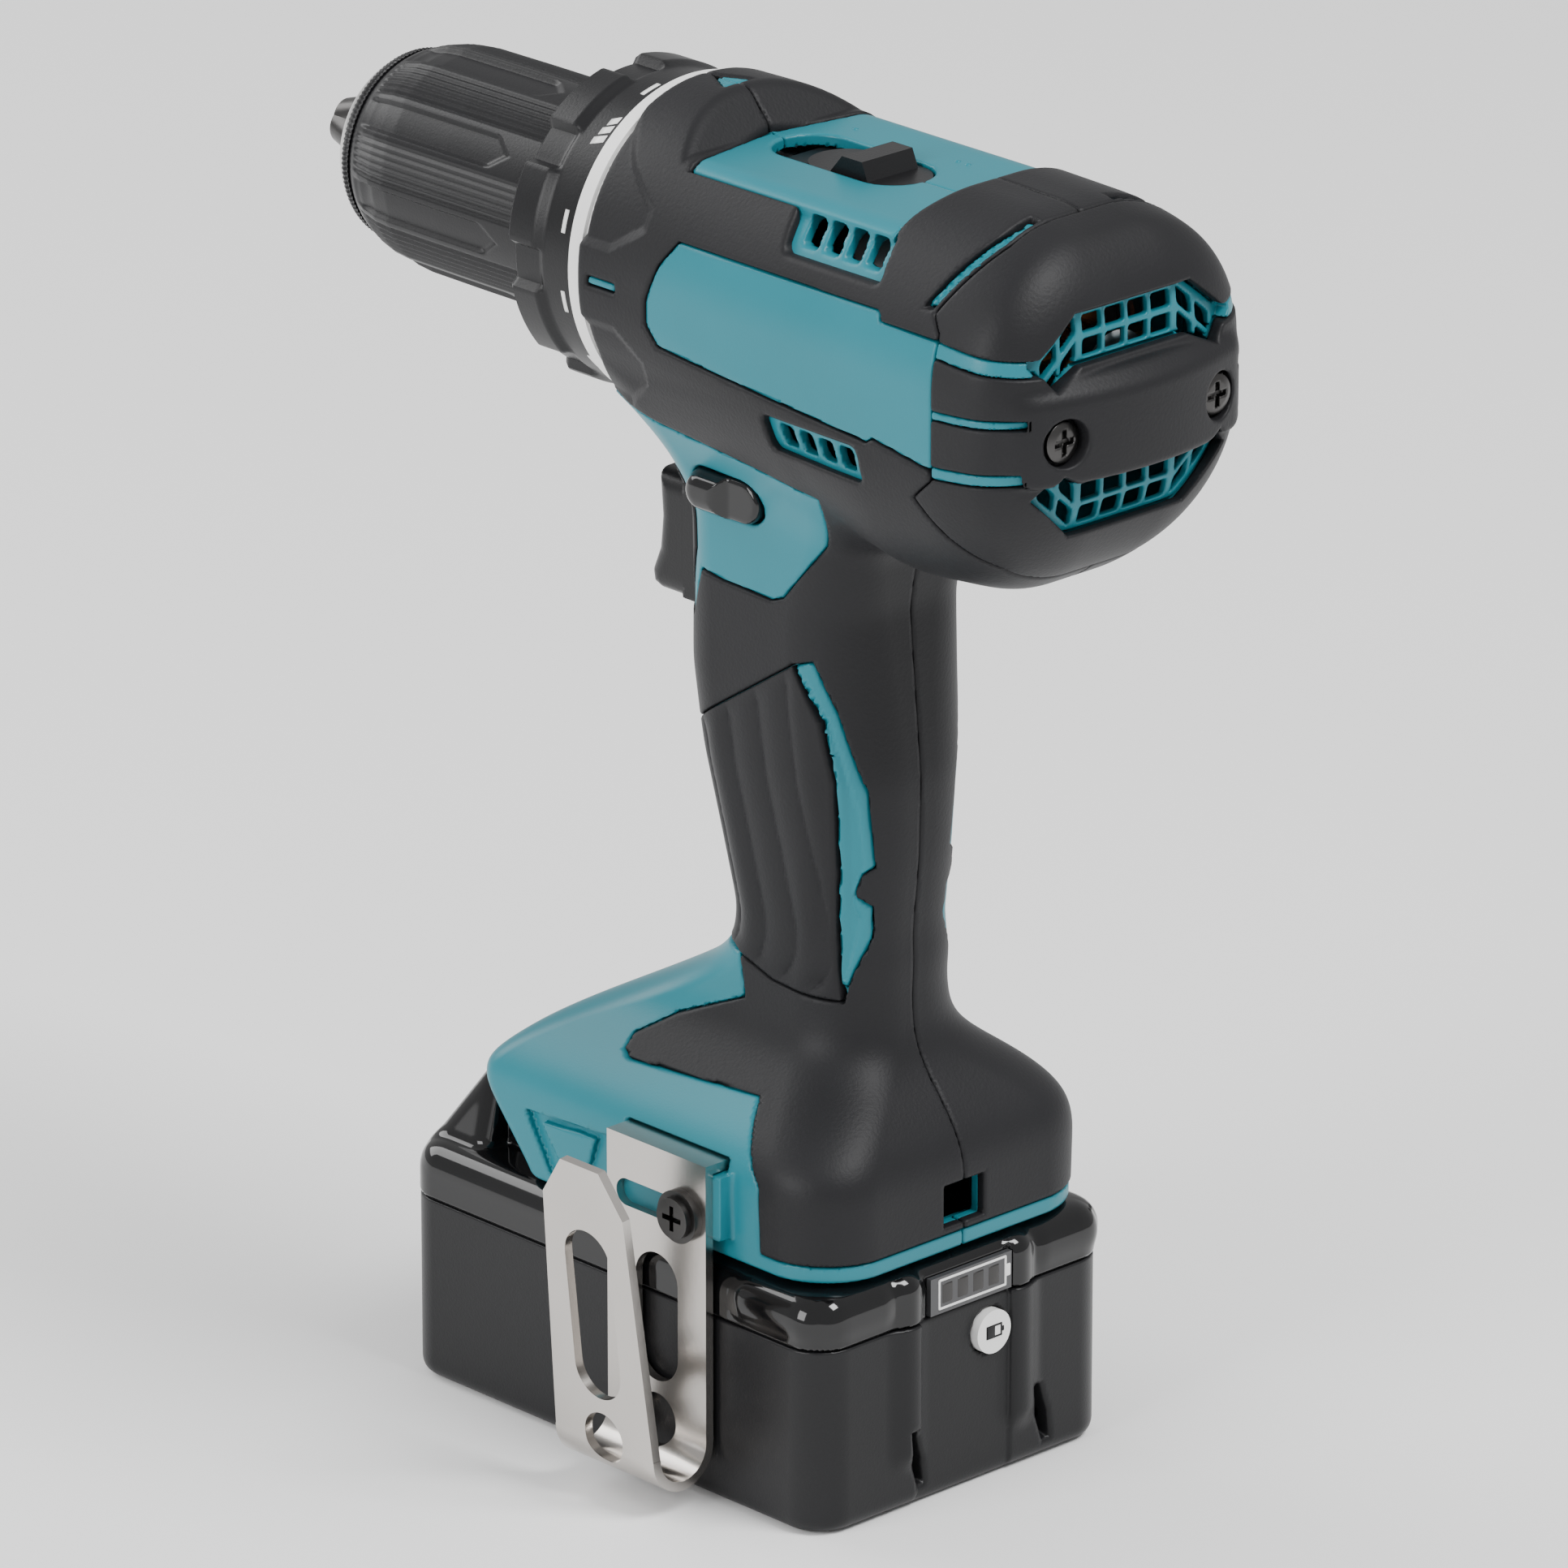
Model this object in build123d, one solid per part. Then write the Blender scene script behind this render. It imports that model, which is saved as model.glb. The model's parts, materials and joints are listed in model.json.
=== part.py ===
from build123d import *
import math
import os

# Cordless hammer driver drill with a slide-on battery. Millimetres.
# +X points forward along the spindle, +Y to the left of the tool, +Z up.
# The origin is the centre of the battery's flat underside.

# ---- driving dimensions ----
SPINDLE_Z = 222.0          # height of the spindle axis
REAR_X = -103.0            # rearmost face of the motor cover bar
RING_X = 14.0              # rear face of the torque ring
CHUCK_FRONT_X = 97.0       # front of the chuck nose ring
SKIN = 1.6                 # thickness of the rubber overmould
WALL = 2.6                 # thickness of the moulded housing under the rubber
FLUSH = 0.4                # how far a bare housing panel sits below the rubber
GAP = 0.3                  # free space between pieces that move past each other
FAR = 400.0                # larger than the whole tool

BATTERY_LENGTH = 112.0
BATTERY_WIDTH = 75.0
BATTERY_CENTRE_X = -2.0
BATTERY_PARTING_Z = 36.0
BATTERY_DECK_Z = 46.5      # top of the upper case around the slide tower
FOOT_BOTTOM_Z = BATTERY_DECK_Z + GAP

JAW_TILT = 17.0            # degrees between a jaw and the spindle axis
JAW_RADIUS = 3.4
JAW_GAP = 1.0              # radius of the hole that the jaws leave in the rest pose
JAW_TIP_X = 107.0
JAW_TIP_RADIUS = 0.9       # from the spindle axis to a jaw's centre line at its tip

SUN_RADIUS = 3.5
PLANET_RADIUS = 6.5
RING_RADIUS = SUN_RADIUS + 2 * PLANET_RADIUS
GEAR_PLAY = 0.2            # taken off each tooth tip so that meshing gears clear
PLANETS = 3

os.makedirs("parts", exist_ok=True)


def save(name, shape):
    shape.label = name
    export_step(shape, f"parts/{name}.step")


# ---- helpers ----
def block(x0, x1, y0, y1, z0, z1):
    """A box between two corners."""
    centre = Pos((x0 + x1) / 2, (y0 + y1) / 2, (z0 + z1) / 2)
    return centre * Box(x1 - x0, y1 - y0, z1 - z0)


def rod_x(radius, x0, x1, y=0.0, z=SPINDLE_Z):
    """A cylinder along X."""
    return Pos((x0 + x1) / 2, y, z) * Rot(0, 90, 0) * Cylinder(radius, x1 - x0)


def tube_x(outer, inner, x0, x1, y=0.0, z=SPINDLE_Z):
    return rod_x(outer, x0, x1, y, z) - rod_x(inner, x0 - 1, x1 + 1, y, z)


def rod_y(radius, y0, y1, x, z):
    """A cylinder along Y."""
    return Pos(x, (y0 + y1) / 2, z) * Rot(90, 0, 0) * Cylinder(radius, y1 - y0)


def rod_z(radius, z0, z1, x, y=0.0):
    """A cylinder along Z."""
    return Pos(x, y, (z0 + z1) / 2) * Cylinder(radius, z1 - z0)


def cone_x(radius0, radius1, x0, x1, z=SPINDLE_Z):
    """A cone along X, radius0 at x0 and radius1 at x1."""
    return Pos((x0 + x1) / 2, 0, z) * Rot(0, 90, 0) * Cone(radius0, radius1, x1 - x0)


def side_prism(points, y0, y1):
    """A side-view outline of (x, z) points, extruded from y0 to y1."""
    face = Plane.XZ * make_face(Polyline(*points, close=True))
    return Pos(0, y1, 0) * extrude(face, y1 - y0)


def around_spindle(shape, angle):
    """Turns a shape about the spindle axis."""
    return Pos(0, 0, SPINDLE_Z) * Rot(angle, 0, 0) * Pos(0, 0, -SPINDLE_Z) * shape


def mirrored(shape):
    """The same shape on the other side of the tool's middle plane."""
    return mirror(shape, about=Plane.XZ)


def section_x(x, half_width, z_low, z_high, corner, inset):
    half = half_width - inset
    height = z_high - z_low - 2 * inset
    radius = min(max(corner - inset, 1.0), half - 0.2, height / 2 - 0.2)
    plane = Plane(origin=(x, 0, (z_low + z_high) / 2), x_dir=(0, 1, 0), z_dir=(1, 0, 0))
    return plane * RectangleRounded(2 * half, height, radius)


def section_z(z, x_rear, x_front, half_width, corner, inset):
    length = x_front - x_rear - 2 * inset
    half = half_width - inset
    radius = min(max(corner - inset, 1.0), half - 0.2, length / 2 - 0.2)
    return Pos((x_rear + x_front) / 2, 0, z) * RectangleRounded(length, 2 * half, radius)


# ---- outer form of the tool body, shared by the housing, the rubber and the rear cover ----
# x, half width, low z, high z, corner radius
BARREL = [
    (-98.0, 27.5, 196.0, 241.0, 18.0),
    (-92.0, 31.5, 188.5, 247.5, 24.0),
    (-82.0, 33.0, 181.0, 250.5, 28.0),
    (-62.0, 33.0, 179.0, 251.0, 28.0),
    (-30.0, 32.5, 186.0, 252.0, 29.0),
    (0.0, 31.5, 190.0, 253.5, 30.0),
    (11.0, 31.5, 190.5, 253.5, 31.0),
]
# z, rear x, front x, half width, corner radius
GRIP = [
    (200.0, -47.0, 11.0, 24.0, 9.0),
    (188.0, -48.0, 5.0, 20.5, 9.0),
    (180.0, -45.0, 0.5, 19.3, 10.0),
    (166.0, -42.5, 1.0, 18.7, 13.0),
    (150.0, -44.0, 1.5, 18.5, 14.5),
    (134.0, -45.5, -0.5, 18.0, 15.0),
    (118.0, -45.0, -4.0, 17.0, 14.5),
    (104.0, -43.5, -7.0, 16.2, 13.5),
    (98.0, -43.8, -6.5, 16.5, 13.5),
    (92.0, -44.6, -1.0, 17.4, 14.0),
    (86.0, -45.6, 9.0, 19.0, 14.0),
    (78.0, -48.5, 23.0, 23.5, 14.0),
    (74.0, -51.0, 29.0, 28.0, 14.0),
    (70.0, -53.5, 33.0, 32.0, 14.0),
    (66.0, -56.0, 36.5, 34.8, 14.0),
    (62.0, -57.0, 36.0, 35.5, 14.0),
    (FOOT_BOTTOM_Z, -57.0, 26.0, 35.0, 14.0),
]
TOP_PANEL_Z = 246.2
TOP_PANEL_X = (-60.0, -7.0)
BAR_Z = (208.0, 226.0)
BAR_HALF_WIDTH = 27.0


def body_form(inset):
    """The outer form of the tool body, reduced by an inset."""
    barrel = loft([section_x(*row, inset) for row in BARREL], ruled=True)
    barrel -= block(-FAR, -98.0 + inset, -FAR, FAR, -FAR, FAR)
    barrel -= block(11.0 - 0.5 * inset, FAR, -FAR, FAR, -FAR, FAR)
    grip = loft([section_z(*row, inset) for row in reversed(GRIP)], ruled=True)
    notch = side_prism(
        [
            (TOP_PANEL_X[0] - 4, 260),
            (TOP_PANEL_X[0], TOP_PANEL_Z - inset),
            (TOP_PANEL_X[1], TOP_PANEL_Z - inset),
            (TOP_PANEL_X[1] + 7, 260),
        ],
        -FAR, FAR)
    return barrel - notch + grip


# side-view outlines (x, z) of the places where the housing shows through the rubber
SIDE_PANEL = [(-78, 232), (-66.5, 232.3), (-65.5, 234), (-14, 234), (-10, 229), (-7, 222), (-7, 217.5),
              (-10, 213.8), (-64.5, 210), (-66, 211), (-78, 211)]
TRIGGER_PANEL = [(-46.5, 193.5), (-3, 196.5), (13, 199.5), (20, 199.5), (20, 188), (9, 189), (-2, 185.5),
                 (-5.3, 179), (-5.3, 172), (-1, 160.5), (-3.5, 158.5), (-7.5, 168.5), (-14, 167.8),
                 (-26, 167.3), (-29, 168.5), (-40, 181)]
HANDLE_INLAY = [(-31, 156.5), (-35.1, 157.8), (-38.9, 148.3), (-42.7, 133.5), (-43, 118.8), (-41.5, 117.3),
                (-40.5, 113.5), (-42.3, 111), (-41.7, 104.5), (-38.5, 92.6), (-37.6, 104.5), (-38.4, 118.2),
                (-38.6, 135.2), (-36.3, 146.5)]
FOOT_PANEL = [(-40, 50.5), (-39.9, 63.3), (-30.1, 75.5), (2.3, 73.9), (4.7, 74.9), (5.2, 77), (-1.5, 81.6),
              (-16.9, 88.4), (-15, 96.5), (60, 98), (60, 40), (-80, 40), (-80, 50.5)]
VENT_X = (-61.0, -40.0)
UPPER_VENT_Z = (238.5, 244.0)
LOWER_VENT_Z = (203.0, 207.5)
REAR_REGION = [(-84, 260), (-84, 247), (-78, 236), (-80.5, 233), (-80.5, 207), (-76, 203),
               (-87, 190), (-90, 170), (-110, 170), (-110, 260)]
GRILLE_WINDOWS = ((227.5, 236.0), (197.0, 205.0))


def window_prisms():
    """The places where the rubber is left open."""
    openings = side_prism(SIDE_PANEL, -FAR, FAR)
    for outline in (TRIGGER_PANEL, HANDLE_INLAY, FOOT_PANEL):
        openings += side_prism(outline, -FAR, FAR)
    openings += block(TOP_PANEL_X[0], TOP_PANEL_X[1], -21, 21, 242, 262)
    return openings


def vent_slots():
    """Air slots through both sides of the motor housing, with slanted ribs left between them."""
    slots = []
    cell = (VENT_X[1] - VENT_X[0]) / 4
    for low, high in (UPPER_VENT_Z, LOWER_VENT_Z):
        for index in range(4):
            x0 = VENT_X[0] + index * cell
            slots.append(side_prism(
                [(x0 + 0.6, low), (x0 + cell - 0.8, low), (x0 + cell, high), (x0 + 1.4, high)],
                -FAR, FAR))
    return slots



# ---- hollow space inside the housing ----
SLOT_X = (-45.0, -10.0)         # speed selector slot in the top panel
SLOT_HALF_WIDTH = 7.5
SELECTOR_Z = (241.9, 243.2)     # sliding plate under the top panel
LEVER_X = (-25.3, -6.7)         # forward / reverse lever, seen from the side
LEVER_Z = (180.6, 189.4)
GEAR_CASE_RADIUS = 19.8
GEAR_FLANGE_RADIUS = 27.0
GEAR_FLANGE_X = (-4.0, 11.0)
TRIM_SPIGOT_RADIUS = 29.6
CAN_RADIUS = 19.8
CLIP_X = -18.0                  # middle of the belt clip
CLIP_HALF_WIDTH = 13.0
CLIP_FACE_Y = 37.9              # outer face of the pad that the clip lies on
CLIP_SCREW_X = -25.0
CLIP_SCREW_Z = 55.0
M4_HOLE_RADIUS = 1.65
STRAP_SLOT = (-60.0, -50.0, -5.0, 5.0, 52.0, 60.0)
HOUSING_SCREWS = [(-52, 193), (-2.5, 190.8), (-28, 148), (-26, 107), (-48, 68.5), (16, 68.5)]
SCREW_BOSS_RADIUS = 3.6
SCREW_RADIUS = 1.7
SCREW_HEAD_RADIUS = 3.3


def slot_opening(x0, x1, half_width, z0, z1):
    """An obround hole through the top panel."""
    slot = block(x0 + half_width, x1 - half_width, -half_width, half_width, z0, z1)
    slot += rod_z(half_width, z0, z1, x0 + half_width)
    return slot + rod_z(half_width, z0, z1, x1 - half_width)


def lever_opening(play):
    """The obround way through both sides of the handle for the direction lever."""
    middle = (LEVER_Z[0] + LEVER_Z[1]) / 2
    radius = (LEVER_Z[1] - LEVER_Z[0]) / 2
    opening = block(LEVER_X[0] + radius, LEVER_X[1] - radius, -FAR, FAR,
                    LEVER_Z[0] - play, LEVER_Z[1] + play)
    for x in (LEVER_X[0] + radius, LEVER_X[1] - radius):
        opening += rod_y(radius + play, -FAR, FAR, x, middle)
    return opening


def moving_part_pockets():
    """Room inside the housing for the trigger, the lever, the selector and the battery's slide tower."""
    pockets = block(-36, 40, -10.6, 10.6, 155.4, 180.2)
    pockets += lever_opening(GAP)
    pockets += slot_opening(*SLOT_X, SLOT_HALF_WIDTH, 240, 262)
    pockets += block(-57, GEAR_FLANGE_X[0], -11, 11, 240, SELECTOR_Z[1] + GAP)
    pockets += block(-50, 60, -26, 26, FOOT_BOTTOM_Z - 5, 62.4)
    return pockets


def nose_bores():
    """Bores at the front of the housing for the gear case flange and the trim ring."""
    return rod_x(TRIM_SPIGOT_RADIUS, 9.0, 40.0) + rod_x(GEAR_FLANGE_RADIUS, GEAR_FLANGE_X[0], 20.0)


def lamp_axis():
    """Where the work lamp looks out under the chuck."""
    return Pos(4.6, 0, 186.8) * Rot(0, 70, 0)


def clip_pad():
    """Raised pad on the side of the foot, with the screw hole for the belt clip."""
    pad = block(CLIP_X - 15, CLIP_X + 15, 29.0, CLIP_FACE_Y, 51.5, 63.8)
    return pad - rod_y(M4_HOLE_RADIUS, CLIP_FACE_Y - 8, CLIP_FACE_Y + 1, CLIP_SCREW_X, CLIP_SCREW_Z)


def motor_ribs(inner):
    """Two ribs that hold the motor can inside the housing."""
    ribs = block(-68, -65.5, -FAR, FAR, 190, FAR) + block(-35.5, -33, -FAR, FAR, 190, FAR)
    return (ribs & inner) - rod_x(GEAR_CASE_RADIUS, -FAR, FAR)


def solids_only(shape, smallest=30.0):
    """Drops slivers that a cut leaves behind."""
    kept = [solid for solid in shape.solids() if solid.volume > smallest]
    return Compound(children=kept) if len(kept) > 1 else kept[0]


# ---- housing halves ----
def build_shell(middle, windows, rear_region):
    inner = body_form(SKIN + WALL)
    shell = middle + (body_form(FLUSH) & windows)
    shell -= inner
    shell += motor_ribs(inner)
    shell -= rear_region
    shell -= nose_bores()
    for slot in vent_slots():
        shell -= slot
    shell -= lamp_axis() * Cylinder(3.3, 12)
    return shell


def screw_bosses(side):
    """Bosses that the housing screws pull together; the right half holds the heads."""
    inner = body_form(SKIN + WALL - 0.2)
    bosses = None
    for x, z in HOUSING_SCREWS:
        if side > 0:
            boss = rod_y(SCREW_BOSS_RADIUS, 0, 40, x, z) - rod_y(SCREW_RADIUS, -1, 12, x, z)
        else:
            boss = rod_y(SCREW_BOSS_RADIUS, -40, 0, x, z) - rod_y(SCREW_RADIUS, -11, 1, x, z)
        bosses = boss if bosses is None else bosses + boss
    return bosses & inner


def screw_access():
    """Holes in the right side through which the housing screws are driven."""
    holes = None
    for x, z in HOUSING_SCREWS:
        hole = rod_y(SCREW_HEAD_RADIUS, -FAR, -10, x, z)
        holes = hole if holes is None else holes + hole
    return holes


def build_housing_half(shell, side):
    half = shell & block(-FAR, FAR, min(0, side * FAR), max(0, side * FAR), -FAR, FAR)
    half += screw_bosses(side)
    pad = clip_pad() if side > 0 else mirrored(clip_pad())
    half += pad
    half -= moving_part_pockets()
    half -= block(*STRAP_SLOT)
    half -= rod_y(M4_HOLE_RADIUS, CLIP_FACE_Y - 8, CLIP_FACE_Y + 1, CLIP_SCREW_X, CLIP_SCREW_Z)
    half -= rod_y(M4_HOLE_RADIUS, -CLIP_FACE_Y - 1, -CLIP_FACE_Y + 8, CLIP_SCREW_X, CLIP_SCREW_Z)
    half -= clip_hook_slot(side)
    for x, z in HOUSING_SCREWS:
        half -= rod_y(SCREW_RADIUS, -11.5, 12.0, x, z)
    if side < 0:
        half -= screw_access()
    return solids_only(half)


def clip_hook_slot(side):
    """The slot above the pad that the clip's top flange hooks into."""
    slot = block(CLIP_X - CLIP_HALF_WIDTH - 0.5, CLIP_X + CLIP_HALF_WIDTH + 0.5, 32.5, 45, 63.9, 66.3)
    return slot if side > 0 else mirrored(slot)


# ---- rubber overmould ----
def build_overmould(outer, middle, windows, rear_region, side):
    rubber = outer - middle - windows - rear_region - nose_bores()
    for low, high in (UPPER_VENT_Z, LOWER_VENT_Z):
        rubber -= block(VENT_X[0] - 1, VENT_X[1] + 1, -FAR, FAR, low - 0.8, high + 0.8)
    rubber = rubber & block(-FAR, FAR, min(0, side * FAR), max(0, side * FAR), -FAR, FAR)
    rubber -= moving_part_pockets()
    rubber -= block(*STRAP_SLOT)
    rubber -= clip_pad() if side > 0 else mirrored(clip_pad())
    rubber -= lamp_axis() * Cylinder(3.3, 12)
    rubber -= clip_hook_slot(side)
    if side < 0:
        rubber -= screw_access()
    return solids_only(rubber)


# ---- rear motor cover ----
COVER_SCREW_Y = 18.7
COVER_SCREW_Z = 215.4
REAR_BEARING_RADIUS = 8.0
REAR_BEARING_X = (-93.0, -88.0)


def grille_slots():
    """Two rows of air slots above and below the middle bar."""
    slots = []
    for low, high in GRILLE_WINDOWS:
        middle = (low + high) / 2
        for row_low, row_high in ((low, middle - 0.5), (middle + 0.5, high)):
            for column in range(6):
                y0 = -17.4 + column * 5.8
                slots.append(block(-120, -90, y0 + 0.6, y0 + 5.2, row_low + 0.5, row_high - 0.3))
    return slots


def build_rear_cover(middle, rear_region):
    cover = (middle - body_form(SKIN + WALL)) & rear_region
    cover += tube_x(REAR_BEARING_RADIUS + 1.6, REAR_BEARING_RADIUS, -95.0, -88.0)
    for slot in grille_slots():
        cover -= slot
    for side in (-1, 1):
        cover += rod_x(4.0, -95.0, -82.0, side * COVER_SCREW_Y, COVER_SCREW_Z)
        cover -= rod_x(SCREW_RADIUS, -FAR, -70.0, side * COVER_SCREW_Y, COVER_SCREW_Z)
    return solids_only(cover)


def build_rear_cover_bumper(outer, middle, rear_region):
    """Black rubber over the rear cover, with a bar across the middle."""
    plan = Plane.XY * make_face(
        Polyline((-90, -BAR_HALF_WIDTH - 2), (-96, -BAR_HALF_WIDTH), (-101, -18), (REAR_X, -8),
                 (REAR_X, 8), (-101, 18), (-96, BAR_HALF_WIDTH), (-90, BAR_HALF_WIDTH + 2), close=True))
    bar = Pos(0, 0, BAR_Z[0]) * extrude(plan, BAR_Z[1] - BAR_Z[0])
    bar &= side_prism([(-88, 207), (-101, 207), (REAR_X, 210), (REAR_X, 222), (-99, 226), (-88, 226)],
                      -FAR, FAR)
    bumper = (outer & rear_region) + bar
    bumper -= middle
    for low, high in GRILLE_WINDOWS:
        bumper -= block(-120, -90, -18, 18, low, high)
    for side in (-1, 1):
        bumper -= rod_x(4.4, -FAR, -99.0, side * COVER_SCREW_Y, COVER_SCREW_Z)
        bumper -= rod_x(SCREW_RADIUS, -FAR, -70.0, side * COVER_SCREW_Y, COVER_SCREW_Z)
    return solids_only(bumper)


def build_rear_cover_screws():
    screws = []
    for side in (-1, 1):
        head = rod_x(3.4, -101.2, -99.0, side * COVER_SCREW_Y, COVER_SCREW_Z)
        shank = rod_x(SCREW_RADIUS, -99.0, -83.0, side * COVER_SCREW_Y, COVER_SCREW_Z)
        recess = Pos(-101.2, side * COVER_SCREW_Y, COVER_SCREW_Z) * Rot(0, 90, 0) * Cylinder(1.3, 2.4)
        screws.append(head + shank - recess)
    return Compound(children=screws)


def build_housing_screws():
    screws = []
    for x, z in HOUSING_SCREWS:
        head = rod_y(SCREW_HEAD_RADIUS - 0.3, -13.4, -11.0, x, z)
        shank = rod_y(SCREW_RADIUS, -11.0, 11.5, x, z)
        recess = rod_y(1.3, -14, -12.2, x, z)
        screws.append(head + shank - recess)
    return Compound(children=screws)


# ---- motor ----
CAN_X = (-80.0, -34.0)
MAGNET_X = (-75.0, -44.0)
SHAFT_RADIUS = 2.5
SHAFT_X = (-93.0, -20.5)
COMMUTATOR_X = (-87.0, -81.0)
COMMUTATOR_RADIUS = 7.5
FRONT_BEARING_X = (-33.5, -30.8)


def build_motor_can():
    can = tube_x(CAN_RADIUS, 18.3, *CAN_X)
    return can + tube_x(CAN_RADIUS, 8.0, CAN_X[1] - 1.5, CAN_X[1])


def build_motor_magnets():
    ring = tube_x(18.3, 14.8, *MAGNET_X)
    magnets = []
    for index in range(4):
        gap = around_spindle(block(-90, -30, -1.5, 1.5, SPINDLE_Z, SPINDLE_Z + 30), 45 + 90 * index)
        ring -= gap
    for solid in ring.solids():
        magnets.append(solid)
    return Compound(children=magnets)


def gear_outline(tip, root, teeth):
    """Points of a plain toothed wheel in its own plane."""
    points = []
    for tooth in range(teeth):
        middle = 2 * math.pi * tooth / teeth
        pitch = 2 * math.pi / teeth
        for radius, offset in ((root, -0.36), (tip, -0.16), (tip, 0.16), (root, 0.36)):
            angle = middle + offset * pitch
            points.append((radius * math.cos(angle), radius * math.sin(angle)))
    return points


def gear_x(tip, root, teeth, x0, x1, y=0.0, z=SPINDLE_Z):
    """A spur gear with its axis along X."""
    face = Plane.YZ * make_face(Polyline(*gear_outline(tip, root, teeth), close=True))
    return Pos(x0, y, z) * extrude(face, x1 - x0)


def build_motor_shaft():
    shaft = rod_x(SHAFT_RADIUS, SHAFT_X[0], -30.0)
    return shaft + gear_x(SUN_RADIUS - GEAR_PLAY, SUN_RADIUS - 1.3, 9, -30.2, SHAFT_X[1])


def build_armature():
    core = tube_x(14.3, SHAFT_RADIUS, -72.0, -47.0)
    for index in range(12):
        slot = around_spindle(block(-80, -40, -0.9, 0.9, SPINDLE_Z + 7, SPINDLE_Z + 16), 30 * index)
        core -= slot
    winding = tube_x(11.5, SHAFT_RADIUS, -78.5, -72.0) + tube_x(11.5, SHAFT_RADIUS, -47.0, -44.0)
    return core + winding


def build_commutator():
    drum = tube_x(COMMUTATOR_RADIUS, SHAFT_RADIUS, *COMMUTATOR_X)
    for index in range(16):
        cut = block(-88, -80, -0.2, 0.2, SPINDLE_Z + 6.6, SPINDLE_Z + 8)
        drum -= around_spindle(cut, 22.5 * index)
    return drum


def build_cooling_fan():
    fan = tube_x(6.0, SHAFT_RADIUS, -43.5, -37.5) + tube_x(16.5, 5.0, -38.7, -37.5)
    for index in range(9):
        blade = block(-43.5, -38.5, -0.6, 0.6, SPINDLE_Z + 5, SPINDLE_Z + 16.5)
        fan += around_spindle(blade, 40 * index)
    return fan


def build_brush_holders():
    holders = []
    for side in (-1, 1):
        y0, y1 = sorted((side * 8.6, side * 14.4))
        box = block(-87.8, -80.4, y0, y1, SPINDLE_Z - 4, SPINDLE_Z + 4)
        box -= block(-86.6, -81.6, y0 - 1, y1 - 1 if side > 0 else y1 + 1, SPINDLE_Z - 3, SPINDLE_Z + 3)
        holders.append(box)
    return Compound(children=holders)


def build_carbon_brushes():
    brushes = []
    for side in (-1, 1):
        y0, y1 = sorted((side * (COMMUTATOR_RADIUS + 0.2), side * 13.2))
        brushes.append(block(-86.5, -81.7, y0, y1, SPINDLE_Z - 2.9, SPINDLE_Z + 2.9))
    return Compound(children=brushes)


def build_bearing(outer, inner, x0, x1):
    """A sealed ball bearing, with a groove at each face between its races and its seal."""
    middle = (outer + inner) / 2
    seal = (outer - inner) * 0.22
    bearing = tube_x(outer, inner, x0, x1)
    for face in (x0, x1):
        bearing -= tube_x(middle + seal, middle - seal, face - 0.4, face + 0.4)
    return bearing


# ---- gearbox ----
SHIFT_TRAVEL = 8.0
RING_OUTER = 17.9
NOSE_TUBE_RADIUS = 16.8
NOSE_TUBE_X = 30.4
SPINDLE_RADIUS = 6.0
SPINDLE_BEARING_X = (22.0, 29.5)
STAGES = (
    # planet x0, planet x1, carrier x0, carrier x1
    (-29.8, -21.0, -20.0, -17.5),
    (-15.6, -8.0, -7.0, -4.0),
)
PLANET_CENTRE = SUN_RADIUS + PLANET_RADIUS
PIN_RADIUS = 1.8


def build_gear_case():
    case = tube_x(GEAR_CASE_RADIUS, RING_OUTER + 0.1, -33.8, GEAR_FLANGE_X[0] + 1)
    case += tube_x(GEAR_CASE_RADIUS, 7.0, -33.8, -30.8)
    case += tube_x(GEAR_FLANGE_RADIUS, RING_OUTER + 0.1, GEAR_FLANGE_X[0], 9.0)
    case += tube_x(GEAR_FLANGE_RADIUS, 10.5, 9.0, GEAR_FLANGE_X[1])
    case += tube_x(NOSE_TUBE_RADIUS, 10.5, 10.0, NOSE_TUBE_X)
    case -= block(-16, GEAR_FLANGE_X[0] - 0.3, -3, 3, SPINDLE_Z + 10, SPINDLE_Z + 22)
    return case


def ring_gear(outer, x0, x1):
    """An inward toothed ring."""
    ring = tube_x(outer, RING_RADIUS + 1.0, x0, x1)
    band = rod_x(RING_RADIUS + 1.05, x0, x1)
    outline = gear_outline(RING_RADIUS + 1.0, RING_RADIUS, 42)
    hole = Plane.YZ * make_face(Polyline(*outline, close=True))
    return ring + (band - Pos(x0 - 1, 0, SPINDLE_Z) * extrude(hole, x1 - x0 + 2))


def planet(stage, index):
    angle = 2 * math.pi * index / PLANETS
    y = PLANET_CENTRE * math.cos(angle)
    z = SPINDLE_Z + PLANET_CENTRE * math.sin(angle)
    x0, x1 = STAGES[stage][:2]
    wheel = gear_x(PLANET_RADIUS - GEAR_PLAY, PLANET_RADIUS - 1.2, 16, x0, x1, y, z)
    return wheel - rod_x(PIN_RADIUS + 0.05, x0 - 1, x1 + 1, y, z)


def carrier(stage):
    """A disc with three pins that the planets turn on."""
    x0, x1, x2, x3 = STAGES[stage]
    disc = rod_x(14.0, x2, x3)
    for index in range(PLANETS):
        angle = 2 * math.pi * index / PLANETS
        y = PLANET_CENTRE * math.cos(angle)
        z = SPINDLE_Z + PLANET_CENTRE * math.sin(angle)
        disc += rod_x(PIN_RADIUS, x0 + 0.3, x2 + 0.5, y, z)
        disc += tube_x(3.2, PIN_RADIUS - 0.1, x1 + 0.2, x2 + 0.2, y, z)
    return disc


def build_first_carrier():
    return carrier(0) + gear_x(SUN_RADIUS - GEAR_PLAY, SUN_RADIUS - 1.3, 9, -17.6, -7.4)


def build_spindle():
    spindle = carrier(1) + rod_x(SPINDLE_RADIUS + 2, -4.5, 12.0)
    return spindle + rod_x(SPINDLE_RADIUS, 11.0, 46.0)


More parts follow.
